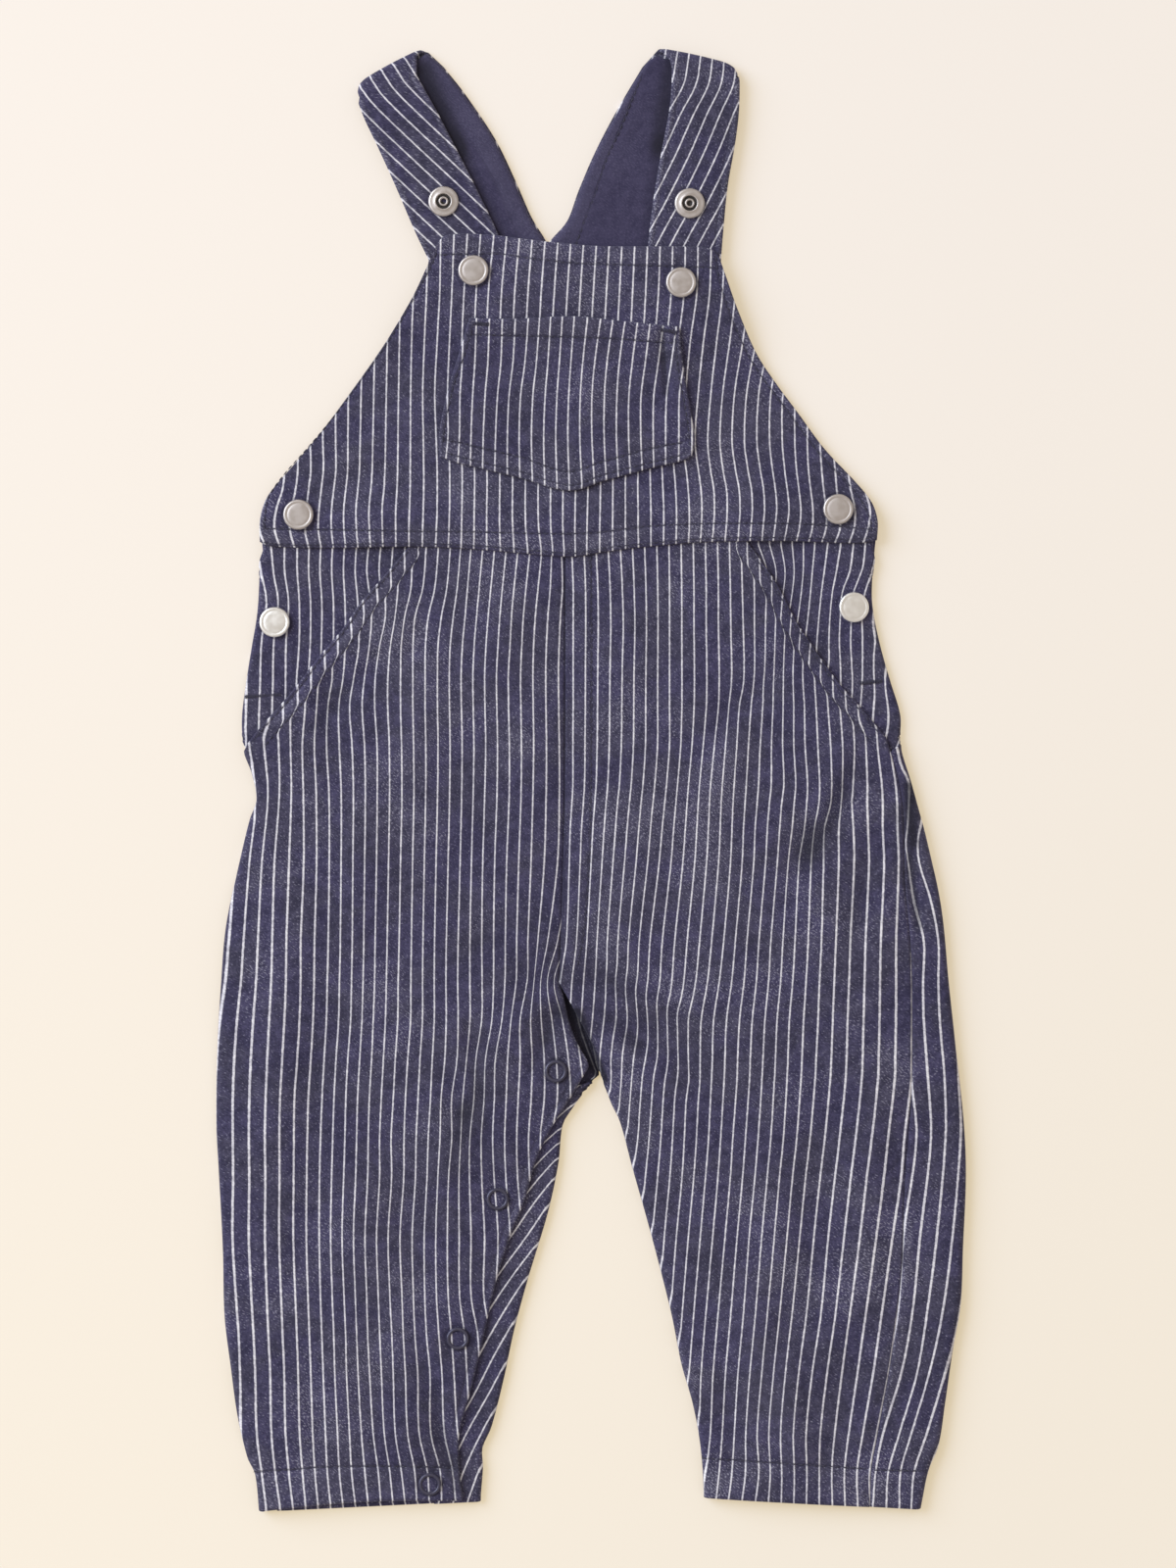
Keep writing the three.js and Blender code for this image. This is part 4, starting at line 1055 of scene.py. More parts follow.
def as_column(values: Grid) -> Grid:
    """Turns one value for each row into a column."""
    return np.asarray(values, float)[:, None]


@dataclass
class TurnedPanel:
    """A panel whose one side turns round a fold and on to the other layer.

    Attributes:
        fold_edge: x and y of the fold edge in each row.
        free_edge: x and y of the free edge in each row.
        turn: From 0, a free edge, to 1, fully turned, in each row.
        tail: How wide the turned part lies on the other layer, in each row.
        fold: Outer diameter of the fold.
        upside: Whether the panel's main part is the upper layer.
        stripes: Stripe counts of the layer that shows.
        tail_columns: Columns across the turned part.
        main_columns: Columns across the main part.
        lift: Height added to the main part.
        tail_lift: Height added to the turned part.
        fold_stripes: Stripe counts at the fold edge, where they differ from those of the layer that shows.
        sway: How far each point is moved up, from its share of the width and its height.
    """

    fold_edge: tuple[Grid, Grid]
    free_edge: tuple[Grid, Grid]
    turn: Grid
    tail: Grid
    fold: float
    upside: bool
    stripes: Field
    tail_columns: int
    main_columns: int
    lift: Callable[..., Grid] | None = None
    tail_lift: Field | None = None
    fold_stripes: Field | None = None
    sway: Field | None = None

    ANCHOR = 6.0
    ARC_COLUMNS = 8
    EASE = 2.5
    SMALLEST = 1e-3

    def stations(self, quarter: float, reach: float, width: Grid, turn: Grid) -> Grid:
        """Spaces the columns along the cloth, counted from the middle of the fold.

        Args:
            quarter: Length of a quarter turn.
            reach: How far the fold stands out.
            width: Signed distance from the fold edge to the free edge, in each row.
            turn: How far each row is turned.

        Returns:
            Rows by columns of distances, below 0 on the turned part.
        """
        whole = -(quarter + as_column(self.tail) - reach)
        start = mix(quarter, whole, turn)
        anchor = quarter + self.ANCHOR
        arc = np.linspace(-quarter, quarter, self.ARC_COLUMNS + 1)
        turned = np.concatenate([
            mix(whole, -quarter, np.arange(self.tail_columns) / self.tail_columns),
            np.broadcast_to(arc, (len(width), len(arc))),
        ], axis=1)
        squeezed = start + (turned - whole) * (anchor - start) / (anchor - whole)
        flat = np.abs(width) - (reach * turn + self.ANCHOR)
        main = anchor + flat * np.arange(self.main_columns + 1) / self.main_columns
        return np.concatenate([squeezed, main], axis=1)

    def sheet(self) -> Sheet:
        """Lays out the grid of the panel's middle layer.

        Returns:
            The sheet, with the layer that shows counted by its own stripes.
        """
        radius = (self.fold - CLOTH) / 2
        quarter = math.pi * radius / 2
        reach = radius + CLOTH / 2
        layer = 1.0 if self.upside else -1.0
        fold_x, fold_y = (as_column(values) for values in self.fold_edge)
        free_x, free_y = (as_column(values) for values in self.free_edge)
        turn = as_column(self.turn)
        width = free_x - fold_x
        to_free = np.sign(width)
        q = self.stations(quarter, reach, width, turn)
        angle = np.clip(q, -quarter, quarter) / radius
        across = (reach - radius * np.cos(angle)) * turn + np.maximum(np.abs(q) - quarter, 0)
        x = fold_x + to_free * across
        y = mix(fold_y, free_y, across / np.abs(width))
        if self.sway is not None:
            y = y + np.where(q > quarter, self.sway(across / np.abs(width), y), 0)
        z = self.fold / 2 + layer * radius * np.sin(angle)
        if self.lift is not None:
            raised = self.lift(x, y, across, np.abs(width))
            z = z + np.where(q > quarter, raised, 0) * smooth((q - quarter) / self.EASE)
        if self.tail_lift is not None:
            z = z + np.where(q < -quarter, self.tail_lift(x, y), 0) * smooth((-quarter - q) / self.EASE)
        away = -to_free * np.cos(angle) * turn
        normals = np.stack([away, np.zeros_like(q), layer * np.sin(angle)], axis=-1)
        size = np.linalg.norm(normals, axis=-1, keepdims=True)
        normals = np.where(size < self.SMALLEST, [0, 0, layer], normals / np.maximum(size, self.SMALLEST))
        at_fold = (self.fold_stripes or self.stripes)(np.broadcast_to(fold_x, q.shape), y)
        hidden = at_fold - to_free * np.abs(q) / STRIPE_SPACING
        counts = np.where(layer * q > 0, self.stripes(x, y), hidden)
        return Sheet(np.stack([x, y, z], axis=-1), normals, counts, y / STRIPE_SPACING)


def rows_between(top: float, bottom: float, step: float, also: Sequence[float] = ()) -> Grid:
    """Heights from top to bottom at an even step, with some heights kept exactly."""
    count = max(2, int(round((top - bottom) / step)))
    even = np.linspace(top, bottom, count + 1)
    return np.unique(np.concatenate([even, np.asarray(also, float)]))[::-1]


def turn_between(y: Grid, start: float, end: float) -> Grid:
    """How far an edge is turned at each height, from 0 at start to 1 at end."""
    return smooth((start - y) / (start - end))


def hem_rise(y: Grid, amount: float) -> Grid:
    """How much a hem's end is raised, growing towards the hem."""
    return amount * smooth((HEM_RAISED_BELOW - y) / (HEM_RAISED_BELOW - HEM_HEIGHT))


class Trousers:
    """The panels of the trousers."""

    FINE = 1.3
    GAPE_LENGTH = 8.0

    def gape(self, y: Grid, amount: float) -> Grid:
        """How far a front's edge stands off the crotch at each height."""
        return amount * bell(y - WIDEST_GAPE, self.GAPE_LENGTH)

    def front_left(self) -> Sheet:
        """Left front: slanted pocket edge, side fold, centre seam, placket and hem."""
        y = rows_between(FRONT_TOP, HEM_HEIGHT, self.FINE, (INSEAM_TOP, -105, LEFT_HIP, 13, 2, -255, -253.5))
        return TurnedPanel(
            fold_edge=(FRONT_LEFT.fold(y), y - hem_rise(y, 0.6)),
            free_edge=(FRONT_LEFT.free(y) - SEAM_GAP / 2 - self.gape(y, 2.0), y + hem_rise(y, 3.5)),
            sway=lambda share, y: 1.7 * np.sin(math.pi * share) * smooth((-246 - y) / 20),
            turn=turn_between(y, 13, 2),
            tail=np.full(len(y), UNDER_TAIL), fold=FRONT_FOLD, upside=True,
            stripes=lambda x, y: FRONT_LEFT_STRIPES(x, y) - 0.5 * SLANT_LEFT_BAND.before_end(x, y),
            tail_columns=2, main_columns=90,
            lift=FRONT_LEFT.lift,
        ).sheet()

    def front_right(self) -> Sheet:
        """Right front: slanted pocket edge, side seam, centre seam, inner fold and hem."""
        y = rows_between(FRONT_TOP, HEM_HEIGHT, self.FINE, (INSEAM_TOP, -108, -118, RIGHT_HIP, -255, -253.5))
        gape = np.where(y > INSEAM_TOP, self.gape(y, 0.9), 0)
        return TurnedPanel(
            fold_edge=(FRONT_RIGHT.fold(y) + gape + SEAM_GAP / 2, y + hem_rise(y, 4.5)),
            free_edge=(FRONT_RIGHT.free(y) - SEAM_GAP / 2, y + hem_rise(y, 1.2)),
            turn=turn_between(y, -108, -118),
            tail=np.full(len(y), UNDER_TAIL), fold=FRONT_FOLD, upside=True,
            stripes=lambda x, y: (FRONT_RIGHT_STRIPES(x, y) + 0.5 * SLANT_RIGHT_BAND.before_end(x, y)
                                  + total(FRONT_RIGHT_WAVES, x, y)),
            tail_columns=2, main_columns=90,
            lift=FRONT_RIGHT.lift,
        ).sheet()

    def back_left(self) -> Sheet:
        """Left back, wrapped round the inner leg as the under flap of the snap opening."""
        y = rows_between(BACK_TOP, HEM_HEIGHT, 2.2, (-106, INSEAM_TOP, -113, -118, -255))
        fold_x = joined(BACK_CENTRE, (-108, LEFT_INSEAM))(y) - SEAM_GAP / 2
        return TurnedPanel(
            fold_edge=(fold_x, y + hem_rise(y, 2.9)),
            free_edge=(LEFT_SIDE(y) + UNDER_END, y - hem_rise(y, 0.8)),
            turn=turn_between(y, INSEAM_TOP, -118),
            tail=np.full(len(y), STRIP_WIDTH), fold=TUCKED_FOLD, upside=False,
            stripes=PLACKET_STRIPES,
            tail_columns=12, main_columns=24,
            fold_stripes=lambda x, y: np.where(y > INSEAM_TOP, -5.5, PLACKET_STRIPES(x, y)),
        ).sheet()

    def back_right(self) -> Sheet:
        """Right back, wrapped round the outer leg up to the side seam."""
        kept = (18, 16.5, RIGHT_HIP, 13.5, 12, 10.5, 9, -107, INSEAM_TOP, -113, -255)
        y = rows_between(BACK_TOP, HEM_HEIGHT, 2.0, kept)
        inset = mix(UNDER_END, 0, smooth((18 - y) / 3))
        clear = UNDER_END * smooth((-107 - y) / 6)
        free_x = joined(BACK_CENTRE, (INSEAM_TOP, RIGHT_INSEAM))(y) + SEAM_GAP / 2 + clear
        details = [*BACK_RIGHT_SEAMS, *WRAP_CREASES]
        return TurnedPanel(
            fold_edge=(RIGHT_SIDE(y) - inset, y + hem_rise(y, 0.2)),
            free_edge=(free_x, y + hem_rise(y, 4.5)),
            turn=turn_between(y, 15.5, 9),
            tail=np.maximum(RIGHT_SIDE(y) - RIGHT_SIDE_SEAM(y) - SEAM_GAP / 2, FRONT_FOLD / 2 + 0.3),
            fold=FRONT_FOLD, upside=False,
            stripes=WRAP_STRIPES,
            tail_columns=14, main_columns=24,
            tail_lift=lambda x, y: total(details, x, y) * smooth((x - RIGHT_SIDE_SEAM(y)) / 3),
        ).sheet()

    def hip(self, side: Edge, slant: Edge, sign: int, stripes: Field, snap: Snap) -> Sheet:
        """Lays out the cloth outboard of a slanted pocket edge.

        Args:
            side: x of the garment's side, at any height.
            slant: x of the slanted edge, at any height.
            sign: -1 on the left and 1 on the right.
            stripes: Stripe counts.
            snap: The cap that sits on it.

        Returns:
            The hip panel's sheet.
        """
        y = rows_between(FRONT_TOP, 9.5, self.FINE, (85, 79, 72, 16.6))
        inset = mix(1.2, 0, smooth((85 - y) / 6)) + 1.2 * smooth((14.5 - y) / 5)
        pressed = [snap, *creases([
            (sign * 108 - 10, 28, sign * 108 + 6, 20, 3.5, 0.3),
            (sign * 106 - 10, 44, sign * 106 - 4, 30, 3.5, -0.35),
            (sign * 98 - 10, 76, sign * 94 - 10, 60, 5, 0.25),
        ])]
        return TurnedPanel(
            fold_edge=(side(y) - sign * inset, y),
            free_edge=(slant(y) - sign * SLANT_LAP, y - 1.5),
            turn=turn_between(y, 79, 72) * (1 - smooth((18 - y) / 5)),
            tail=np.full(len(y), UNDER_TAIL), fold=TUCKED_FOLD, upside=True,
            stripes=stripes,
            tail_columns=2, main_columns=40,
            lift=lambda x, y, across, width: total(pressed, x, y) * smooth(across / 3),
        ).sheet()


@dataclass(frozen=True)
class PatchEdges:
    """The four edges of a patch panel."""

    top: Polyline
    bottom: Polyline
    left: Polyline
    right: Polyline

    def grid(self, rows: int, columns: int) -> tuple[Grid, Grid]:
        """Places between the edges.

        Args:
            rows: Steps from top to bottom.
            columns: Steps from left to right.

        Returns:
            The x and the y of each grid point.
        """
        u = np.linspace(0, 1, columns + 1)
        v = np.linspace(0, 1, rows + 1)
        top, bottom = self.top.share(u)[None], self.bottom.share(u)[None]
        left, right = self.left.share(v)[:, None], self.right.share(v)[:, None]
        across, down = u[None, :, None], v[:, None, None]
        ends = [line.points[k] for line in (self.top, self.bottom) for k in (0, -1)]
        corners = mix(mix(ends[0], ends[1], across), mix(ends[2], ends[3], across), down)
        placed = mix(top, bottom, down) + mix(left, right, across) - corners
        return placed[..., 0], placed[..., 1]


BIB_EDGES = PatchEdges(
    top=Polyline([(-57.6, 192.5), (-55.8, 196.6), (-51.4, 198.9), (-37, 198.7), (-23, 197), (-8, 195.4),
                  (6, 194.5), (35, 194.4), (44, 193.4), (46.8, 190.6)]),
    bottom=Polyline([(-121.3, 86.8), (-116.5, 85.2), (-95, 84.6), (-66, 85), (-44, 84.2), (-23, 82.4),
                     (-7, 81.4), (6, 83.3), (20, 85), (42, 86.7), (71, 87.1), (96, 86.4), (104.4, 87.4)]),
    left=Polyline([(-57.6, 192.5), (-60.3, 187), (-66.1, 175), (-75.1, 160), (-87, 143), (-98.5, 127.4),
                   (-107.5, 116.6), (-115.6, 107.2), (-119.4, 101.5), (-121.3, 94), (-121.3, 86.8)]),
    right=Polyline([(46.8, 190.6), (49.1, 184), (53.5, 171.4), (59.9, 156.6), (67.1, 145.4), (75.1, 134.6),
                    (85.1, 121), (95.9, 109.4), (102.2, 101.6), (104.6, 94.5), (104.4, 87.4)]),
)
POCKET_EDGES = PatchEdges(
    top=Polyline([(-44.5, 168.1), (-28, 167.8), (-6.7, 168.7), (12.8, 166.8), (31.9, 165)]),
    bottom=Polyline([(-55.4, 118.2), (-50, 116), (-44.5, 114.7), (-26.5, 110.3), (-8.5, 105.5),
                     (5.2, 109.3), (23.2, 114.1), (33, 116.4), (36.6, 118.2)]),
    left=Polyline([(-44.5, 168.1), (-48.1, 156), (-52, 143.5), (-55.3, 128), (-55.4, 118.2)]),
    right=Polyline([(31.9, 165), (33.7, 149), (36.3, 133.5), (37.6, 124), (36.6, 118.2)]),
)


def patch_sheet(edges: PatchEdges, rows: int, columns: int, surface: Field, stripes: Field) -> Sheet:
    """Lays out a patch panel on a surface."""
    x, y = edges.grid(rows, columns)
    points = np.stack([x, y, surface(x, y)], axis=-1)
    normals = np.broadcast_to([0.0, 0.0, 1.0], points.shape)
    return Sheet(points, normals, stripes(x, y), y / STRIPE_SPACING)


@dataclass(frozen=True)
class StrapCut:
    """The edge points of a back half with its strap.

    Attributes:
        outer: Outer edge of the back, from the waist up.
        inner: Inner edge of the back, from the waist up.
        back_fold: Outer and inner end of the fold, on the back's layer.
        front_fold: Outer and inner end of the fold, on the strap's layer.
        front_outer: Outer edge of the strap, from the fold down.
        front_inner: Inner edge of the strap, from the fold down.
        up: Direction that the fold points in.
    """

    outer: tuple[Pair, ...]
    inner: tuple[Pair, ...]
    back_fold: tuple[Pair, Pair]
    front_fold: tuple[Pair, Pair]
    front_outer: tuple[Pair, ...]
    front_inner: tuple[Pair, ...]
    up: Pair


LEFT_CUT = StrapCut(
    outer=((-120.3, 81.6), (-120.4, 95), (-113.5, 105.5), (-97.5, 124.5), (-83.5, 144), (-71, 162),
           (-63, 177), (-60.6, 185), (-59.5, 190), (-58.5, 201), (-60.5, 213), (-65.5, 227), (-73.5, 240.5),
           (-81, 249.5)),
    inner=((-14.9, 81.6), (-15.2, 95), (-15.5, 108), (-15.7, 128), (-15.9, 148), (-16, 168), (-16.2, 182),
           (-16.3, 190), (-16.6, 196.3), (-22.3, 206), (-28.2, 219.4), (-35.6, 234.6), (-46.3, 250.6),
           (-54.5, 261)),
    back_fold=((-86.0, 252.6), (-60.2, 266.6)),
    front_fold=((-86.1, 252.4), (-64.4, 264.4)),
    front_outer=((-85.1, 247.4), (-82.7, 241.2), (-78.3, 232), (-71.5, 217), (-64.3, 200.2), (-58.6, 188.2),
                 (-54.6, 177.8)),
    front_inner=((-64.3, 257.6), (-58.2, 246.8), (-51.7, 234.4), (-43.6, 218.6), (-34.6, 199.8),
                 (-30.6, 188), (-28.2, 178.4)),
    up=(-0.4, 0.916),
)
RIGHT_CUT = StrapCut(
    outer=((103.6, 81.6), (103.8, 94.5), (96.5, 106), (79.5, 125), (66, 143.5), (56.5, 159), (50.5, 175),
           (48.2, 184), (47, 190), (44, 202), (41.5, 214), (42, 229), (45.5, 243), (50, 254)),
    inner=((-14.6, 81.6), (-14.9, 95), (-15.2, 108), (-15.4, 128), (-15.6, 148), (-15.7, 168), (-15.7, 182),
           (-15.6, 190), (-15.4, 196.3), (-8.6, 204.6), (-4.3, 216), (2.0, 230.6), (10.0, 245.8),
           (19, 261)),
    back_fold=((53.4, 259.4), (22.8, 265.6)),
    front_fold=((53.8, 259.2), (26.8, 266.0)),
    front_outer=((53.9, 257.0), (54.1, 253.5), (53.7, 243), (52.3, 232), (49.7, 217), (48.1, 201),
                 (47.1, 188), (46.2, 174.6)),
    front_inner=((29.0, 263.2), (29.8, 258.6), (29, 246), (26.6, 233), (23.8, 217.4), (21.5, 200.4),
                 (20.7, 187.8), (20.2, 174.8)),
    up=(0.1, 0.995),
)


def knot_curve(points: Rows, per_span: int) -> Grid:
    """Points of a smooth curve, with the same number of steps between each pair of knots."""
    line = Polyline(points)
    picks = np.linspace(0, len(line.points) - 1, (len(points) - 1) * per_span + 1).round().astype(int)
    return line.points[picks]


class StrapHalf:
    """A back half with its arm, shoulder fold and strap, and the lining of the arm."""

    COLUMNS = 22
    PER_SPAN = 6
    FOLD_STEPS = 12
    OUTER_CORNER = 4.5
    INNER_CORNER = 9
    CORNER_DROP = 2.8
    FOLD_BOW = 0.5
    LINING_FROM = 6
    LINING_SHORT = (1.6, 0.9)
    LINING_INSET = 0.7

    def __init__(self, cut: StrapCut, stripes: Field, details: Sequence[Crease | Seam | Snap]) -> None:
        self.cut = cut
        self.stripes = stripes
        self.details = details
        self.share = np.linspace(0, 1, self.COLUMNS + 1)[None, :, None]

    def between(self, outer: Rows, inner: Rows) -> Grid:
        """Rows of points between an outer and an inner edge."""
        outer_curve, inner_curve = knot_curve(outer, self.PER_SPAN), knot_curve(inner, self.PER_SPAN)
        return mix(outer_curve[:, None], inner_curve[:, None], self.share)

    def eased(self, rate: float) -> Grid:
        """0 on both edges, rising to 1 between them."""
        return smooth(np.minimum(self.share, 1 - self.share)[..., 0] * rate)

    def unfolded(self, x: Grid, y: Grid) -> tuple[Grid, Grid]:
        """Mirrors points of the back's layer over the fold, as if the strap were laid out straight."""
        start, end = (np.asarray(corner) for corner in self.cut.back_fold)
        along = (end - start) / np.linalg.norm(end - start)
        side = np.array([-along[1], along[0]])
        away = (x - start[0]) * side[0] + (y - start[1]) * side[1]
        return x - 2 * away * side[0], y - 2 * away * side[1]

    def fold_rows(self, angle: Grid, radius: float) -> Grid:
        """Rows of points round the shoulder fold, with its corners rounded off.

        Args:
            angle: Turn of each row, from a quarter turn below level to one above.
            radius: Radius of the fold's middle layer.

        Returns:
            Places of the rows as seen from above.
        """
        up = np.asarray(self.cut.up)
        turned = np.linspace(0, 1, len(angle))[:, None, None]
        ends = mix(np.asarray(self.cut.back_fold)[None], np.asarray(self.cut.front_fold)[None], turned)
        ends = ends + up * (radius * np.cos(angle))[:, None, None]
        outer_corner = np.clip(1 - self.share * self.OUTER_CORNER, 0, 1)
        inner_corner = 0.5 * np.clip(1 - (1 - self.share) * self.INNER_CORNER, 0, 1)
        corner = np.maximum(outer_corner, inner_corner)
        bow = self.FOLD_BOW * np.sin(math.pi * self.share)
        drawn_in = self.CORNER_DROP * (1 - np.sqrt(1 - corner**2)) - bow
        return mix(ends[:, :1], ends[:, 1:], self.share) - up * drawn_in

    def sheet(self) -> Sheet:
        """Lays out the back half from the waist up, round its fold and down the strap.

        Returns:
            The sheet, with the back's layer counted as if the strap were laid out straight.
        """
        cut = self.cut
        radius = (STRAP_FOLD - CLOTH) / 2
        angle = mix(-math.pi / 2, math.pi / 2, np.linspace(0, 1, self.FOLD_STEPS + 1))
        back = self.between(cut.outer, cut.inner)
        strap = self.between(cut.front_outer, cut.front_inner)
        flat = np.concatenate([back, self.fold_rows(angle, radius), strap])
        x, y = flat[..., 0], flat[..., 1]
        heights = np.concatenate([
            np.full(len(back), CLOTH / 2), STRAP_FOLD / 2 + radius * np.sin(angle),
            np.full(len(strap), STRAP_FOLD - CLOTH / 2),
        ])
        away = np.asarray([*cut.up, 0]) / np.linalg.norm(cut.up)
        above = np.array([0, 0, 1.0])
        round_fold = away * np.cos(angle)[:, None] + above * np.sin(angle)[:, None]
        normals = np.concatenate([
            np.tile(-above, (len(back), 1)), round_fold, np.tile(above, (len(strap), 1)),
        ])
        row = np.arange(len(flat))[:, None]
        under = row < len(back) + self.FOLD_STEPS // 2
        on_strap = row >= len(back) + self.FOLD_STEPS
        shown_x, shown_y = (np.where(under, *pair) for pair in zip(self.unfolded(x, y), (x, y)))
        z = heights[:, None] + on_strap * total(self.details, x, y) * self.eased(14)
        points = np.stack([x, y, z], axis=-1)
        normals = np.broadcast_to(normals[:, None], points.shape)
        return Sheet(points, normals, self.stripes(shown_x, shown_y), shown_y / STRIPE_SPACING)

    def lining(self, details: Sequence[Crease | Seam]) -> Sheet:
        """Lays out the lining that faces the arm of the back.

        Args:
            details: Its creases and grooves.

        Returns:
            The lining's sheet.
        """
        up = np.asarray(self.cut.up)
        ends = [fold - short * up for fold, short in zip(self.cut.back_fold, self.LINING_SHORT)]
        edges = [[*edge[self.LINING_FROM:], end] for edge, end in zip((self.cut.outer, self.cut.inner), ends)]
        outer, inner = (knot_curve(np.asarray(edge), self.PER_SPAN) for edge in edges)
        inward = inner - outer
        inward *= self.LINING_INSET / np.linalg.norm(inward, axis=1)[:, None]
        flat = mix((outer + inward)[:, None], (inner - inward)[:, None], self.share)
        x, y = flat[..., 0], flat[..., 1]
        points = np.stack([x, y, LINING_MIDDLE + total(details, x, y) * self.eased(10)], axis=-1)
        normals = np.broadcast_to([0.0, 0.0, 1.0], points.shape)
        return Sheet(points, normals, x / STRIPE_SPACING, y / STRIPE_SPACING, LINING)


class ThreadWork:
    """Lays rows of stitches on the cloth."""

    WIDTH = 0.2
    SWELL = ((0.0, 0.35), (0.3, 1.0), (0.7, 1.0), (1.0, 0.35))
    LIFT = 0.16
    SUNK = 0.02
    FIRST = 0.2
    REACH = 0.72
    TACK_PITCH = 0.45
    TACK_HALF = 0.75

    def __init__(self, material: Material) -> None:
        self.material = material

    def stitches(self, name: str, starts: Grid, ends: Grid, top: Field) -> bpy.types.Object:
        """Makes a joined mesh of short rounded threads.

        Args:
            name: The piece's name.
            starts: Where each thread goes in.
            ends: Where each thread comes out.
            top: Height of the cloth's upper face.

        Returns:
            The joined threads.
        """
        along = (ends - starts) / (np.linalg.norm(ends - starts, axis=1)[:, None] + 1e-9)
        side = np.stack([-along[:, 1], along[:, 0]], axis=1)
        rings = []
        for share, swell in self.SWELL:
            middle = mix(starts, ends, share)
            height = top(middle[:, 0], middle[:, 1]) + self.LIFT * swell - self.SUNK
            for across, rise in ((1, 0), (0, 1), (-1, 0), (0, -1)):
                flat = middle + side * (across * self.WIDTH * swell)
                rings.append(np.column_stack([flat, height + rise * self.WIDTH * swell]))
        places = np.stack(rings, axis=1).reshape(-1, 3)
        around = [(4 * k + n, 4 * k + (n + 1) % 4) for k in range(3) for n in range(4)]
        single = np.array([[a, b, b + 4, a + 4] for a, b in around] + [[3, 2, 1, 0], [12, 13, 14, 15]])
        faces = (single[None] + 16 * np.arange(len(starts))[:, None, None]).reshape(-1, 4)
        made = mesh_object(name, places, faces)
        made.data.materials.append(self.material)
        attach(made, "root")
        return made

    def row(self, seam_row: Seam, top: Field) -> None:
        """Lays one seam's stitches on a face."""
        starts = (np.arange(int(seam_row.line.length / seam_row.pitch)) + self.FIRST) * seam_row.pitch
        ends = starts + seam_row.pitch * self.REACH
        self.stitches(f"stitches_{seam_row.name}", seam_row.line.at(starts), seam_row.line.at(ends), top)

    def tack(self, tack: Tack, top: Field) -> None:
        """Lays one bar of close stitches across its line."""
        start, end = from_picture([tack.start, tack.end])
        along = end - start
        length = float(np.hypot(*along))
        across = np.array([-along[1], along[0]]) / length * self.TACK_HALF
        places = start + along * np.linspace(0, 1, int(length / self.TACK_PITCH) + 1)[:, None]
        self.stitches(tack.name, places - across, places + across, top)


@dataclass(frozen=True)
class Finish:
    """How a hard material looks."""

    colour: tuple[float, float, float]
    roughness: float
    metallic: float


NICKEL = Finish((0.6, 0.55, 0.54), 0.46, 1.0)
# Painted shade: a near-black metal for a socket's hole and groove.
PAINTED_HOLLOW_SHADE = Finish((0.05, 0.045, 0.045), 0.5, 0.6)
ENAMEL = Finish((0.07, 0.066, 0.11), 0.3, 0.4)
# Painted light: a paler copy of the nickel for the hip caps, standing in for the light they catch.
PAINTED_LIT_NICKEL = Finish((0.98, 0.96, 0.95), 0.42, 1.0)


@dataclass(frozen=True)
class ClothTones:
    """Colours of a cloth.

    Attributes:
        dark: Yarn where the weave lies low.
        pale: Yarn where the weave stands high.
        spread: Weave heights at which the dark and the pale yarn show alone.
        worn: Colour of worn cloth, and its share.
        fleck: Colour of the flecks, and their share.
        groove: Colour painted as shade in a seam's groove, and its share.
        groove_depth: How deep the bump draws a groove in.
        roughness: Roughness of the surface.
    """

    dark: Colour
    pale: Colour
    spread: Pair
    worn: tuple[Colour, float]
    fleck: tuple[Colour, float]
    groove: tuple[Colour, float]
    groove_depth: float
    roughness: float


NAVY_TWILL = ClothTones(
    dark=(0.028, 0.025, 0.057, 1.0),
    pale=(0.073, 0.066, 0.128, 1.0),
    spread=(0.38, 0.62),
    worn=((0.12, 0.115, 0.17, 1.0), 0.2),
    fleck=((0.36, 0.35, 0.45, 1.0), 0.55),
    groove=((0.022, 0.02, 0.042, 1.0), 0.66),
    groove_depth=1.2,
    roughness=0.88,
)
INDIGO_LINING = ClothTones(
    dark=(0.029, 0.025, 0.064, 1.0),
    pale=(0.058, 0.05, 0.108, 1.0),
    spread=(0.34, 0.66),
    worn=((0.085, 0.078, 0.14, 1.0), 0.35),
    fleck=((0.16, 0.15, 0.24, 1.0), 0.2),
    groove=((0.018, 0.016, 0.034, 1.0), 0.6),
    groove_depth=1.0,
    roughness=0.82,
)


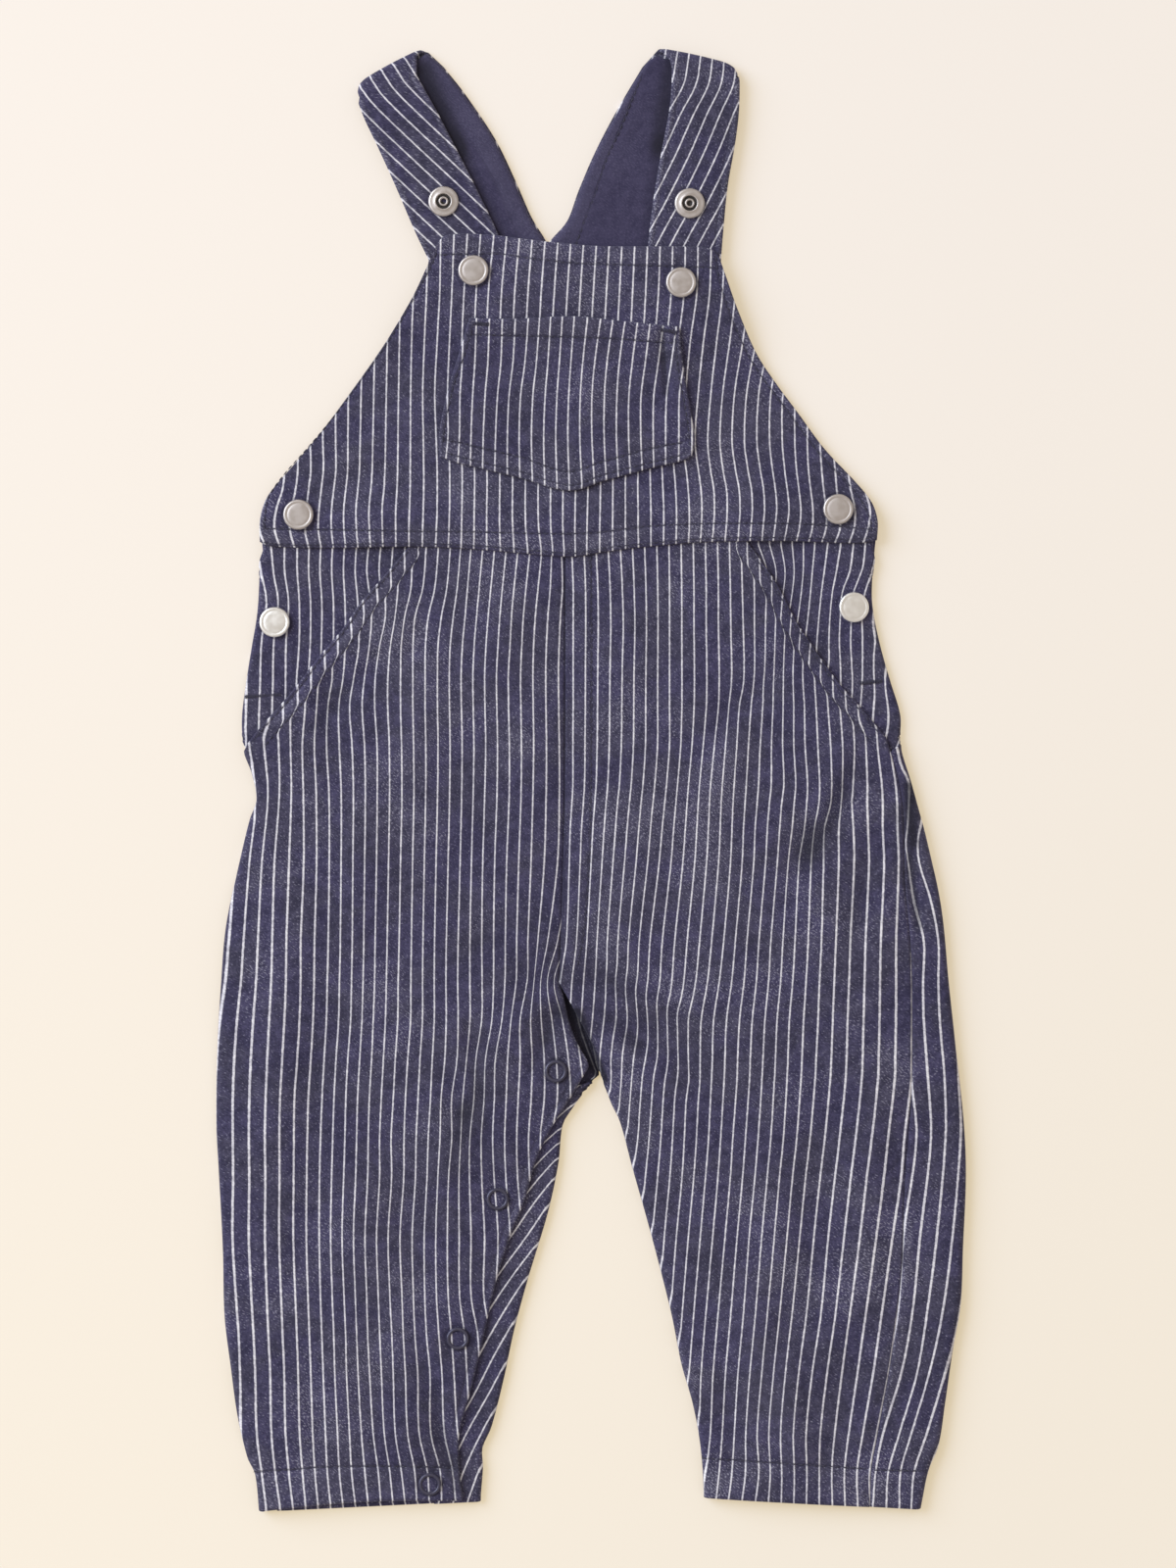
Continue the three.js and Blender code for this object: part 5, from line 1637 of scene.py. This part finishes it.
class Nodes:
    """Adds nodes to a tree and joins them up."""

    def __init__(self, tree: bpy.types.NodeTree) -> None:
        self.tree = tree

    def add(self, kind: str, settings: dict | None = None, **inputs: object) -> bpy.types.Node:
        """Adds a node.

        Args:
            kind: The node's type name.
            settings: Properties of the node.
            **inputs: Values or sockets for its inputs, by name with spaces as underscores.

        Returns:
            The node.
        """
        node = self.tree.nodes.new(kind)
        for name, value in (settings or {}).items():
            setattr(node, name, value)
        for name, value in inputs.items():
            self.feed(node.inputs[name.replace("_", " ")], value)
        return node

    def feed(self, socket: Socket, value: object) -> None:
        """Gives an input a value or joins it to an output."""
        if isinstance(value, bpy.types.NodeSocket):
            self.tree.links.new(value, socket)
        else:
            socket.default_value = value

    def math(self, operation: str, *values: object) -> Socket:
        """Adds a math node and returns its output."""
        node = self.add("ShaderNodeMath", {"operation": operation})
        for socket, value in zip(node.inputs, values):
            self.feed(socket, value)
        return node.outputs[0]

    def times(self, first: object, second: object) -> Socket:
        """Multiplies two values."""
        return self.math("MULTIPLY", first, second)

    def plus(self, first: object, second: object) -> Socket:
        """Adds two values."""
        return self.math("ADD", first, second)

    def minus(self, first: object, second: object) -> Socket:
        """Takes the second value from the first."""
        return self.math("SUBTRACT", first, second)

    def attribute(self, name: str) -> Socket:
        """Reads one of the mesh's own values."""
        return self.add("ShaderNodeAttribute", {"attribute_name": name}).outputs["Fac"]

    def noise(self, place: Socket, scale: float, detail: float, roughness: float = 0.5
              ) -> Socket:
        """Adds a noise and returns its value."""
        node = self.add("ShaderNodeTexNoise", Vector=place, Scale=scale, Detail=detail, Roughness=roughness)
        return node.outputs[0]

    def ramp(self, value: object, low: float, high: float, start: float = 0.0, end: float = 1.0
             ) -> Socket:
        """Maps a range smoothly on to another and returns its output."""
        node = self.add("ShaderNodeMapRange", {"interpolation_type": "SMOOTHSTEP"}, Value=value, From_Min=low,
                        From_Max=high, To_Min=start, To_Max=end)
        return node.outputs[0]

    def blend(self, share: object, first: object, second: object, mode: str = "MIX") -> Socket:
        """Mixes two colours and returns the result."""
        node = self.add("ShaderNodeMix", {"data_type": "RGBA", "blend_type": mode})
        self.feed(node.inputs[0], share)
        self.feed(node.inputs[6], first)
        self.feed(node.inputs[7], second)
        return node.outputs[2]


def shader_group(name: str, inputs: dict[str, tuple[str, object]], outputs: dict[str, str]
                 ) -> tuple[bpy.types.NodeTree, Nodes, bpy.types.Node, bpy.types.Node]:
    """Makes an empty shader node group.

    Args:
        name: The group's name.
        inputs: Socket types and default values by name.
        outputs: Socket types by name.

    Returns:
        The group, a node adder for it, its input node and its output node.
    """
    group = bpy.data.node_groups.new(name, "ShaderNodeTree")
    for label, (kind, default) in inputs.items():
        socket = group.interface.new_socket(name=label, in_out="INPUT", socket_type=kind)
        if default is not None:
            socket.default_value = default
    for label, kind in outputs.items():
        group.interface.new_socket(name=label, in_out="OUTPUT", socket_type=kind)
    nodes = Nodes(group)
    return group, nodes, nodes.add("NodeGroupInput"), nodes.add("NodeGroupOutput")


class ClothLooks:
    """Makes the looks of the cloth from shared groups."""

    def __init__(self) -> None:
        self.twill = self.twill_group()
        self.pinstripe = self.pinstripe_group()

    def twill_group(self) -> bpy.types.NodeTree:
        """Heathered twill: a soft mottle and short slanted flecks, thicker where the cloth is worn."""
        group, nodes, given, result = shader_group(
            "Heathered twill",
            {"Vector": ("NodeSocketVector", None), "Place": ("NodeSocketVector", None),
             "Wear": ("NodeSocketFloat", 0.0)},
            {"Shade": "NodeSocketFloat", "Flecks": "NodeSocketFloat", "Tint": "NodeSocketColor"})
        place = given.outputs["Place"]
        slanted = nodes.add("ShaderNodeMapping", {"vector_type": "TEXTURE"}, Vector=given.outputs["Vector"],
                            Rotation=(0, 0, math.radians(-38)), Scale=(0.22, 0.085, 1.0))
        hatch = nodes.noise(slanted.outputs[0], 1.0, 1.0)
        mottle = nodes.noise(place, 300.0, 3.0, 0.65)
        cloud = nodes.noise(place, 34.0, 3.0, 0.6)
        hue = nodes.noise(place, 58.0, 3.0, 0.6)
        fine = nodes.plus(nodes.times(hatch, 0.5), nodes.times(mottle, 0.5))
        shade = nodes.plus(nodes.times(fine, 0.78), nodes.times(cloud, 0.22))
        eased = nodes.plus(nodes.times(given.outputs["Wear"], 0.09), nodes.ramp(cloud, 0.42, 0.72, 0.0, 0.11))
        tint = nodes.blend(nodes.ramp(hue, 0.4, 0.6), (0.95, 0.94, 1.04, 1.0), (1.03, 1.05, 0.96, 1.0))
        nodes.feed(result.inputs["Shade"], shade)
        nodes.feed(result.inputs["Flecks"], nodes.ramp(nodes.plus(hatch, eased), 0.65, 0.75))
        nodes.feed(result.inputs["Tint"], tint)
        return group

    def pinstripe_group(self) -> bpy.types.NodeTree:
        """Pale stripes on whole numbers of the first texture coordinate, uneven as woven threads are."""
        group, nodes, given, result = shader_group(
            "Pinstripe", {"Vector": ("NodeSocketVector", None), "Width": ("NodeSocketFloat", 0.09)},
            {"Mask": "NodeSocketFloat", "Ridge": "NodeSocketFloat"})
        vector = given.outputs["Vector"]
        count = nodes.add("ShaderNodeSeparateXYZ", Vector=vector).outputs[0]
        along = nodes.add("ShaderNodeMapping", Vector=vector, Scale=(0.9, 2.4, 1.0))
        wander = nodes.noise(along.outputs[0], 1.0, 2.0, 0.6)
        place = nodes.plus(nodes.plus(count, nodes.times(nodes.minus(wander, 0.5), 0.03)), 0.5)
        offset = nodes.math("ABSOLUTE", nodes.minus(nodes.math("FRACT", place), 0.5))
        slub = nodes.noise(vector, 3.1, 2.0, 0.6)
        width = nodes.times(given.outputs["Width"], nodes.plus(nodes.times(slub, 0.7), 0.65))
        mask = nodes.ramp(nodes.minus(width, offset), -0.03, 0.03)
        worn = nodes.ramp(slub, 0.3, 0.62, 0.72, 1.0)
        nodes.feed(result.inputs["Mask"], nodes.times(mask, worn))
        nodes.feed(result.inputs["Ridge"], mask)
        return group

    def finish(self, nodes: Nodes, colour: object, height: object, roughness: float) -> None:
        """Joins a colour and a height to a matt cloth surface."""
        bump = nodes.add("ShaderNodeBump", Strength=0.5, Distance=0.00025, Height=height)
        surface = nodes.add("ShaderNodeBsdfPrincipled", Base_Color=colour, Roughness=roughness,
                            Specular_IOR_Level=0.25, Sheen_Weight=0.12, Sheen_Roughness=0.5,
                            Sheen_Tint=(0.75, 0.75, 0.9, 1.0), Normal=bump.outputs[0])
        output = nodes.add("ShaderNodeOutputMaterial")
        nodes.feed(output.inputs["Surface"], surface.outputs[0])

    def drawn_in(self, nodes: Nodes, coords: bpy.types.Node) -> Socket:
        """How deep a point lies in a seam's groove, from 0 to 1."""
        uneven = nodes.noise(coords.outputs["Object"], 330.0, 2.0)
        wander = nodes.times(nodes.minus(uneven, 0.5), 0.9)
        away = nodes.math("ABSOLUTE", nodes.plus(nodes.attribute("groove_side"), wander))
        depth = nodes.times(nodes.attribute("groove_near"), nodes.ramp(away, 0.05, 0.75, 1.0, 0.0))
        return nodes.times(depth, nodes.ramp(uneven, 0.3, 0.6, 0.35, 1.0))

    def shaded(self, nodes: Nodes, colour: object) -> Socket:
        """Paints shade into a colour in the creases' troughs and a faint painted highlight on their ridges.
        """
        relief = nodes.attribute("relief")
        # painted shade: troughs blend towards near black
        darker = nodes.blend(nodes.ramp(relief, -1.8, 0.0, 0.85, 0.0), colour, (0.01, 0.009, 0.018, 1.0))
        # painted highlight: ridges blend towards a pale navy
        return nodes.blend(nodes.ramp(relief, 0.0, 1.2, 0.0, 0.12), darker, (0.3, 0.29, 0.38, 1.0))

    def with_pinstripes(self, nodes: Nodes, coords: bpy.types.Node, shade: Socket,
                        colour: Socket) -> tuple[Socket, Socket]:
        """Lays pale pinstripes over a cloth, a little wider towards the garment's sides.

        Args:
            nodes: Adds nodes to the material.
            coords: The texture coordinates.
            shade: Height of the weave.
            colour: Colour between the stripes.

        Returns:
            The colour and the height, with the stripes.
        """
        place = nodes.add("ShaderNodeSeparateXYZ", Vector=coords.outputs["Object"])
        outboard = nodes.ramp(nodes.math("ABSOLUTE", place.outputs[0]), 0.07, 0.125)
        stripe = nodes.add("ShaderNodeGroup", {"node_tree": self.pinstripe}, Vector=coords.outputs["UV"],
                           Width=nodes.plus(nodes.times(outboard, 0.014), 0.058))
        pale = nodes.blend(nodes.ramp(shade, 0.38, 0.62), (0.57, 0.55, 0.64, 1.0), (0.86, 0.84, 0.9, 1.0))
        height = nodes.plus(shade, nodes.times(stripe.outputs["Ridge"], 0.35))
        return nodes.blend(stripe.outputs["Mask"], colour, pale), height

    def cloth(self, name: str, tones: ClothTones, striped: bool) -> Material:
        """Makes a cloth's material.

        Args:
            name: The material's name.
            tones: Its colours.
            striped: Whether it has pinstripes and a changing tint.

        Returns:
            The material.
        """
        material, nodes = empty_material(name)
        coords = nodes.add("ShaderNodeTexCoord")
        wear = nodes.attribute("wear")
        twill = nodes.add("ShaderNodeGroup", {"node_tree": self.twill}, Vector=coords.outputs["UV"],
                          Place=coords.outputs["Object"], Wear=wear)
        height = twill.outputs["Shade"]
        colour = nodes.blend(nodes.ramp(height, *tones.spread), tones.dark, tones.pale)
        if striped:
            colour = nodes.blend(1.0, colour, twill.outputs["Tint"], "MULTIPLY")
        for amount, (over, share) in ((wear, tones.worn), (twill.outputs["Flecks"], tones.fleck)):
            colour = nodes.blend(nodes.times(amount, share), colour, over)
        if striped:
            colour, height = self.with_pinstripes(nodes, coords, height, colour)
        groove = self.drawn_in(nodes, coords)
        # painted shade: cloth in a seam's groove blends towards a darker colour
        painted_groove_shade, share = tones.groove
        colour = nodes.blend(nodes.times(groove, share), self.shaded(nodes, colour), painted_groove_shade)
        height = nodes.minus(height, nodes.times(groove, tones.groove_depth))
        self.finish(nodes, colour, height, tones.roughness)
        return material

    def thread(self) -> Material:
        """Dark navy sewing thread."""
        material, nodes = empty_material("thread")
        noise = nodes.noise(nodes.add("ShaderNodeTexCoord").outputs["Object"], 900.0, 1.0)
        colour = nodes.blend(noise, (0.02, 0.018, 0.036, 1.0), (0.075, 0.07, 0.115, 1.0))
        self.finish(nodes, colour, noise, 0.6)
        return material


def empty_material(name: str) -> tuple[Material, Nodes]:
    """Makes a material with an empty node tree."""
    material = bpy.data.materials.new(name)
    material.use_nodes = True
    material.node_tree.nodes.clear()
    return material, Nodes(material.node_tree)


def hard_material(name: str, finish: Finish) -> Material:
    """Makes a metal or enamel with fine wear."""
    material, nodes = empty_material(name)
    smudge = nodes.noise(nodes.add("ShaderNodeTexCoord").outputs["Object"], 420.0, 3.0)
    low = tuple(part * 0.86 for part in finish.colour)
    colour = nodes.blend(smudge, (*low, 1.0), (*finish.colour, 1.0))
    rough = nodes.ramp(smudge, 0.3, 0.7, finish.roughness - 0.06, finish.roughness + 0.1)
    surface = nodes.add("ShaderNodeBsdfPrincipled", Base_Color=colour, Roughness=rough,
                        Metallic=finish.metallic)
    output = nodes.add("ShaderNodeOutputMaterial")
    nodes.feed(output.inputs["Surface"], surface.outputs[0])
    return material


class SnapMaker:
    """Turns the snaps from their profiles."""

    SIDES = 64
    CAP = ((0.0, 1.46), (1.6, 1.45), (3.0, 1.41), (3.95, 1.35), (4.15, 1.26), (4.35, 1.33), (4.6, 1.42),
           (4.95, 1.44), (5.25, 1.34), (5.48, 1.08), (5.58, 0.7), (5.45, 0.3), (5.1, 0.0), (0.0, 0.0))
    SOCKET = ((0.0, 0.12), (1.05, 0.12), (1.08, 1.05), (1.25, 1.2), (1.55, 1.2), (1.75, 0.95), (1.85, 0.35),
              (2.6, 0.35), (2.72, 0.95), (2.9, 1.2), (3.15, 1.22), (3.45, 1.02), (3.75, 0.84), (4.6, 0.9),
              (5.2, 0.86), (5.45, 0.62), (5.58, 0.3), (5.4, 0.0), (0.0, 0.0))
    RING = ((2.8, 0.1), (2.88, 0.5), (3.1, 0.72), (3.45, 0.8), (3.8, 0.72), (4.05, 0.46), (4.12, 0.1),
            (4.0, -0.1), (2.9, -0.1), (2.8, 0.1))
    HOLE = 1.06
    GROOVE = (1.78, 2.65)

    def turned(self, name: str, profile: Rows, centre: Pair, base: float,
               tilt: float = 0.0) -> bpy.types.Object:
        """Spins a profile round an upright axis.

        Args:
            name: The piece's name.
            profile: Radius and height of each corner.
            centre: Where the axis stands.
            base: Height of the profile's foot.
            tilt: Lean to the right, in degrees.

        Returns:
            The turned piece.
        """
        for chosen in bpy.context.selected_objects:
            chosen.select_set(False)
        x, y = np.asarray(centre) + CENTRING[:2]
        corners = np.array([(x + r, y, base + h) for r, h in profile]) * MILLIMETRE
        mesh = bpy.data.meshes.new(name)
        mesh.from_pydata(corners.tolist(), [(k, k + 1) for k in range(len(corners) - 1)], [])
        made = bpy.data.objects.new(name, mesh)
        bpy.context.scene.collection.objects.link(made)
        bpy.context.view_layer.objects.active = made
        made.select_set(True)
        bpy.ops.object.mode_set(mode="EDIT")
        bpy.ops.mesh.select_all(action="SELECT")
        middle = (x * MILLIMETRE, y * MILLIMETRE, base * MILLIMETRE)
        bpy.ops.mesh.spin(steps=self.SIDES, angle=2 * math.pi, center=middle, axis=(0, 0, 1))
        bpy.ops.mesh.select_all(action="SELECT")
        bpy.ops.mesh.remove_doubles(threshold=0.00001)
        bpy.ops.mesh.normals_make_consistent(inside=False)
        if tilt:
            bpy.ops.transform.rotate(value=math.radians(tilt), orient_axis="Y", center_override=middle)
        bpy.ops.object.mode_set(mode="OBJECT")
        made.data.polygons.foreach_set("use_smooth", np.ones(len(made.data.polygons), dtype=bool))
        made.select_set(False)
        return made


@dataclass(frozen=True)
class Cut:
    """Facts about a cloth piece.

    Attributes:
        flat: Flat width and length, in metres.
        area: Flat area, in square metres.
        rests_on: What it lies on.
    """

    flat: Pair
    area: float
    rests_on: tuple[str, ...]


@dataclass(frozen=True)
class ClothPart:
    """A cloth piece and what marks it.

    Attributes:
        node: The solid that it stands for.
        sheet: Its middle layer.
        seams: Grooves that its look shows.
        bands: Worn strips that its look shows.
        shade_folds: Creases painted into its colour, as shade in troughs and highlight on ridges.
        slot: Its material slot.
    """

    node: str
    sheet: Sheet
    seams: Sequence[Seam | Snap] = ()
    bands: Sequence[Band] = ()
    shade_folds: Sequence[Crease] = ()
    slot: Slot = Slot.CLOTH


def strap_parts() -> list[ClothPart]:
    """Both back halves with their straps, and the linings of their arms."""
    left_marks = [*STRAP_LEFT_SEAMS, STRAP_LEFT_SNAP]
    right_marks = [*STRAP_RIGHT_SEAMS, STRAP_RIGHT_SNAP]
    left = StrapHalf(LEFT_CUT, left_strap_stripes, [*left_marks, *STRAP_LEFT_CREASES])
    right = StrapHalf(RIGHT_CUT, RIGHT_STRAP_STRIPES, [*right_marks, *STRAP_RIGHT_CREASES])
    left_lining = left.lining([*LINING_LEFT_SEAMS, *LINING_LEFT_CREASES])
    right_lining = right.lining([*LINING_RIGHT_SEAMS, *LINING_RIGHT_CREASES])
    return [
        ClothPart("back_left_with_strap", left.sheet(), left_marks, STRAP_LEFT_BANDS, STRAP_LEFT_SHADE),
        ClothPart("back_right_with_strap", right.sheet(), right_marks, STRAP_RIGHT_BANDS, STRAP_RIGHT_SHADE),
        ClothPart("arm_lining_left", left_lining, LINING_LEFT_SEAMS, LINING_LEFT_BANDS, LINING_LEFT_SHADE,
                  Slot.LINING),
        ClothPart("arm_lining_right", right_lining, LINING_RIGHT_SEAMS, LINING_RIGHT_BANDS,
                  LINING_RIGHT_SHADE, Slot.LINING),
    ]


def trouser_parts() -> list[ClothPart]:
    """The panels of the trousers."""
    trousers = Trousers()
    # these creases shape the fronts and are also painted into their colour as shade and highlight
    shared_shade = [*MAIN_CREASES, *SMALL_CREASES]
    hip_left = trousers.hip(LEFT_SIDE, LEFT_SLANT, -1, HIP_LEFT_STRIPES, HIP_LEFT_SNAP)
    hip_right = trousers.hip(RIGHT_SIDE, RIGHT_SLANT, 1, HIP_RIGHT_STRIPES, HIP_RIGHT_SNAP)
    return [
        ClothPart("trouser_back_left", trousers.back_left(), shade_folds=BACK_SHADE),
        ClothPart("trouser_back_right", trousers.back_right(), [*BACK_RIGHT_SEAMS, SIDE_SEAM], WRAP_BANDS,
                  [*WRAP_SHADE, *BACK_SHADE]),
        ClothPart("trouser_front_left", trousers.front_left(), [*FRONT_LEFT_SEAMS, CENTRE_SEAM, *RING_SNAPS],
                  FRONT_LEFT_BANDS, [*shared_shade, *FRONT_LEFT_SHADE]),
        ClothPart("trouser_front_right", trousers.front_right(), [*FRONT_RIGHT_SEAMS, CENTRE_SEAM, SIDE_SEAM],
                  FRONT_RIGHT_BANDS, [*shared_shade, *FRONT_RIGHT_SHADE]),
        ClothPart("hip_panel_left", hip_left, [HIP_LEFT_SNAP]),
        ClothPart("hip_panel_right", hip_right, [HIP_RIGHT_SNAP]),
    ]


def bib_parts() -> list[ClothPart]:
    """The bib and its pocket."""
    bib = patch_sheet(BIB_EDGES, 84, 150, bib_surface, BIB_STRIPES)
    pocket = patch_sheet(POCKET_EDGES, 48, 76, pocket_surface, POCKET_STRIPES)
    return [
        ClothPart("bib", bib, [*BIB_SEAMS, *BIB_SNAPS], BIB_BANDS, BIB_CREASES),
        ClothPart("bib_pocket", pocket, POCKET_SEAMS, POCKET_BANDS, POCKET_CREASES),
    ]


def even_face(height: float) -> Field:
    """A face at the same height all over."""
    def top(x: Grid, y: Grid) -> Grid:
        return np.full(np.shape(x), height)

    return top


def upper_face(middle: Field) -> Field:
    """The upper face of a cloth with the given middle layer."""
    def top(x: Grid, y: Grid) -> Grid:
        return middle(x, y) + CLOTH / 2

    return top


class Dungarees:
    """Builds the garment over the frame."""

    THREAD_SUNK = 0.25
    CAP_LIFT = 0.2
    HIP_CAPS = ((HIP_LEFT_SNAP, 0.2, 0.0), (HIP_RIGHT_SNAP, 0.7, -8.0))
    SOCKET_LIFT = 0.05
    RING_SUNK = 0.1

    def __init__(self) -> None:
        looks = ClothLooks()
        self.materials = {
            Slot.CLOTH: looks.cloth("striped_cloth", NAVY_TWILL, True),
            Slot.LINING: looks.cloth("plain_lining", INDIGO_LINING, False),
            Slot.METAL: hard_material("snap_metal", NICKEL),
            Slot.ENAMEL: hard_material("ring_enamel", ENAMEL),
        }
        self.painted_hollow_shade = hard_material("snap_hollow_painted_shade", PAINTED_HOLLOW_SHADE)
        self.painted_lit_metal = hard_material("snap_metal_painted_lit", PAINTED_LIT_NICKEL)
        self.thread = ThreadWork(looks.thread())
        self.snaps = SnapMaker()

    def cloth(self) -> None:
        """Builds the cloth pieces and hides the solids that they stand for."""
        for part in [*strap_parts(), *trouser_parts(), *bib_parts()]:
            marks = part.sheet.marks(part.seams, part.bands, part.shade_folds)
            made = Shell(part.sheet, marks).build(f"{part.node}_cloth")
            made.data.materials.append(self.materials[part.slot])
            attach(made, "root")
            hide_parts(part.node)

    def stitching(self) -> None:
        """Lays all rows of stitches and the bar tacks."""
        pocket_top = upper_face(pocket_surface)
        rows = [
            (FRONT_LEFT_SEAMS, FRONT_LEFT.top), (FRONT_RIGHT_SEAMS, FRONT_RIGHT.top),
            (BACK_RIGHT_SEAMS, even_face(FRONT_FOLD - self.THREAD_SUNK)),
            (BIB_SEAMS, upper_face(bib_surface)), (POCKET_SEAMS, pocket_top),
            (LINING_RIGHT_SEAMS, even_face(LINING_MIDDLE + LINING / 2 - self.THREAD_SUNK)),
        ]
        for seams, top in rows:
            for seam_row in seams:
                if seam_row.stitched:
                    self.thread.row(seam_row, top)
        for tacks, top in ((POCKET_TACKS, pocket_top), (HIP_TACKS, even_face(TUCKED_FOLD))):
            for tack in tacks:
                self.thread.tack(tack, top)

    def fasteners(self) -> None:
        """Turns the caps, sockets and ring snaps."""
        for snap in BIB_SNAPS:
            lying = float(bib_height(np.array(snap.x), np.array(snap.y)))
            self.fasten(snap, self.snaps.CAP, lying + CLOTH / 2 + self.CAP_LIFT, self.materials[Slot.METAL])
        for snap, lift, tilt in self.HIP_CAPS:
            # painted light: the hip caps take the paler copy of the nickel
            self.fasten(snap, self.snaps.CAP, TUCKED_FOLD + lift, self.painted_lit_metal, tilt)
        for snap in (STRAP_LEFT_SNAP, STRAP_RIGHT_SNAP):
            base = STRAP_FOLD + self.SOCKET_LIFT
            made = self.fasten(snap, self.snaps.SOCKET, base, self.materials[Slot.METAL])
            # painted shade in the socket's hole and groove
            self.paint_hollow_shade(made, snap)
        for snap in RING_SNAPS:
            base = float(FRONT_LEFT.top(np.array([snap.x]), np.array([snap.y]))[0]) - self.RING_SUNK
            self.fasten(snap, self.snaps.RING, base, self.materials[Slot.ENAMEL])

    def fasten(self, snap: Snap, profile: Rows, base: float,
               material: Material, tilt: float = 0.0) -> bpy.types.Object:
        """Turns one snap, gives it its material and body, and hides the solid that it stands for.

        Args:
            snap: Which snap.
            profile: Radius and height of each corner.
            base: Height of the profile's foot.
            material: Its look.
            tilt: Lean to the right, in degrees.

        Returns:
            The snap.
        """
        made = self.snaps.turned(f"{snap.name}_look", profile, (snap.x, snap.y), base, tilt)
        made.data.materials.append(material)
        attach(made, "root")
        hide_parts(snap.name)
        return made

    def paint_hollow_shade(self, made: bpy.types.Object, snap: Snap) -> None:
        """Paints shade on the faces in a socket's hole and groove, with a near-black metal."""
        made.data.materials.append(self.painted_hollow_shade)
        middle = (np.array([snap.x, snap.y]) + CENTRING[:2]) * MILLIMETRE
        groove_start, groove_end = self.snaps.GROOVE
        for face in made.data.polygons:
            away = math.hypot(face.center.x - middle[0], face.center.y - middle[1]) / MILLIMETRE
            if away < self.snaps.HOLE or groove_start < away < groove_end:
                face.material_index = 1


class Studio:
    """The surface, light and camera of the picture."""

    # Painted light: the floor's colour is bluer at the top and warmer at the foot, standing in for the
    # light's fall-off.
    FLOOR_TOP = (0.925, 0.855, 0.8, 1.0)
    FLOOR_FOOT = (0.925, 0.845, 0.745, 1.0)
    # Painted light: the floor glows with FLOOR_GLOW and reflects with FLOOR_LIT, so the shadows on it are
    # lighter and warmer.
    FLOOR_LIT = (0.44, 0.52, 0.72, 1.0)
    FLOOR_GLOW = (0.56, 0.48, 0.28, 1.0)
    FLOOR_SIZE = 6.0
    FLOOR_DROP = 0.0002
    ROOM_COLOUR = (1.0, 0.92, 0.815, 1.0)
    ROOM_STRENGTH = 0.61
    WINDOW_PLACE = (-4.1, 2.0, 2.9)
    WINDOW_COLOUR = (0.83, 0.915, 1.0)
    WINDOW_SIZE = 4.6
    WINDOW_POWER = 295.0
    CAMERA_PLACE = (-0.0011, -0.0017, 1.6)
    SENSOR_HEIGHT = 36.0
    LENS = 100.0

    def floor(self) -> None:
        """Lays the cream surface, with a painted fall-off in its colour and a painted glow that lifts its
        shadows.
        """
        bpy.ops.mesh.primitive_plane_add(size=self.FLOOR_SIZE, location=(0, 0, -self.FLOOR_DROP))
        plane = bpy.context.active_object
        plane.name = "floor"
        material, nodes = empty_material("cream_paper")
        coords = nodes.add("ShaderNodeTexCoord")
        place = nodes.add("ShaderNodeSeparateXYZ", Vector=coords.outputs["Object"])
        # painted fall-off: bluer towards the top, warmer towards the foot
        tone = nodes.blend(nodes.ramp(place.outputs[1], -0.27, 0.25), self.FLOOR_FOOT, self.FLOOR_TOP)
        lit = nodes.blend(1.0, tone, self.FLOOR_LIT, "MULTIPLY")
        # painted light: the floor's own glow, a little stronger on the left, lifts and warms its shadows
        glow = nodes.blend(1.0, tone, self.FLOOR_GLOW, "MULTIPLY")
        strength = nodes.ramp(place.outputs[0], -0.22, 0.2, 1.05, 0.98)
        surface = nodes.add("ShaderNodeBsdfPrincipled", Base_Color=lit, Roughness=0.9, Specular_IOR_Level=0.1,
                            Emission_Color=glow, Emission_Strength=strength)
        output = nodes.add("ShaderNodeOutputMaterial")
        nodes.feed(output.inputs["Surface"], surface.outputs[0])
        plane.data.materials.append(material)

    def window(self) -> None:
        """Hangs a round lamp on the upper left that faces the garment."""
        data = bpy.data.lights.new("window", "AREA")
        data.shape = "DISK"
        data.size = self.WINDOW_SIZE
        data.energy = self.WINDOW_POWER
        data.color = self.WINDOW_COLOUR
        lamp = bpy.data.objects.new("window", data)
        bpy.context.scene.collection.objects.link(lamp)
        lamp.location = self.WINDOW_PLACE
        aim = -np.asarray(self.WINDOW_PLACE) / np.linalg.norm(self.WINDOW_PLACE)
        lamp.rotation_euler = (math.acos(-aim[2]), 0, math.atan2(-aim[0], aim[1]))

    def light(self) -> None:
        """Sets the soft daylight from the upper left and the even light round it."""
        world = bpy.data.worlds.new("soft_room")
        bpy.context.scene.world = world
        world.use_nodes = True
        background = world.node_tree.nodes["Background"]
        background.inputs["Color"].default_value = self.ROOM_COLOUR
        background.inputs["Strength"].default_value = self.ROOM_STRENGTH
        self.window()

    def camera(self) -> None:
        """Sets the camera straight above the garment."""
        data = bpy.data.cameras.new("camera")
        data.sensor_fit = "VERTICAL"
        data.sensor_height = self.SENSOR_HEIGHT
        data.lens = self.LENS
        camera = bpy.data.objects.new("camera", data)
        camera.location = self.CAMERA_PLACE
        bpy.context.scene.collection.objects.link(camera)
        bpy.context.scene.camera = camera

    def build(self) -> None:
        """Sets the whole studio, with plain tones."""
        self.floor()
        self.light()
        self.camera()
        bpy.context.scene.view_settings.view_transform = "Standard"
        bpy.context.scene.view_settings.look = "None"


def main() -> None:
    """Builds the picture over the frame."""
    logging.basicConfig(level=logging.INFO)
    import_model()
    garment = Dungarees()
    garment.cloth()
    garment.stitching()
    garment.fasteners()
    Studio().build()
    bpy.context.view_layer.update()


if __name__ == "__main__":
    main()
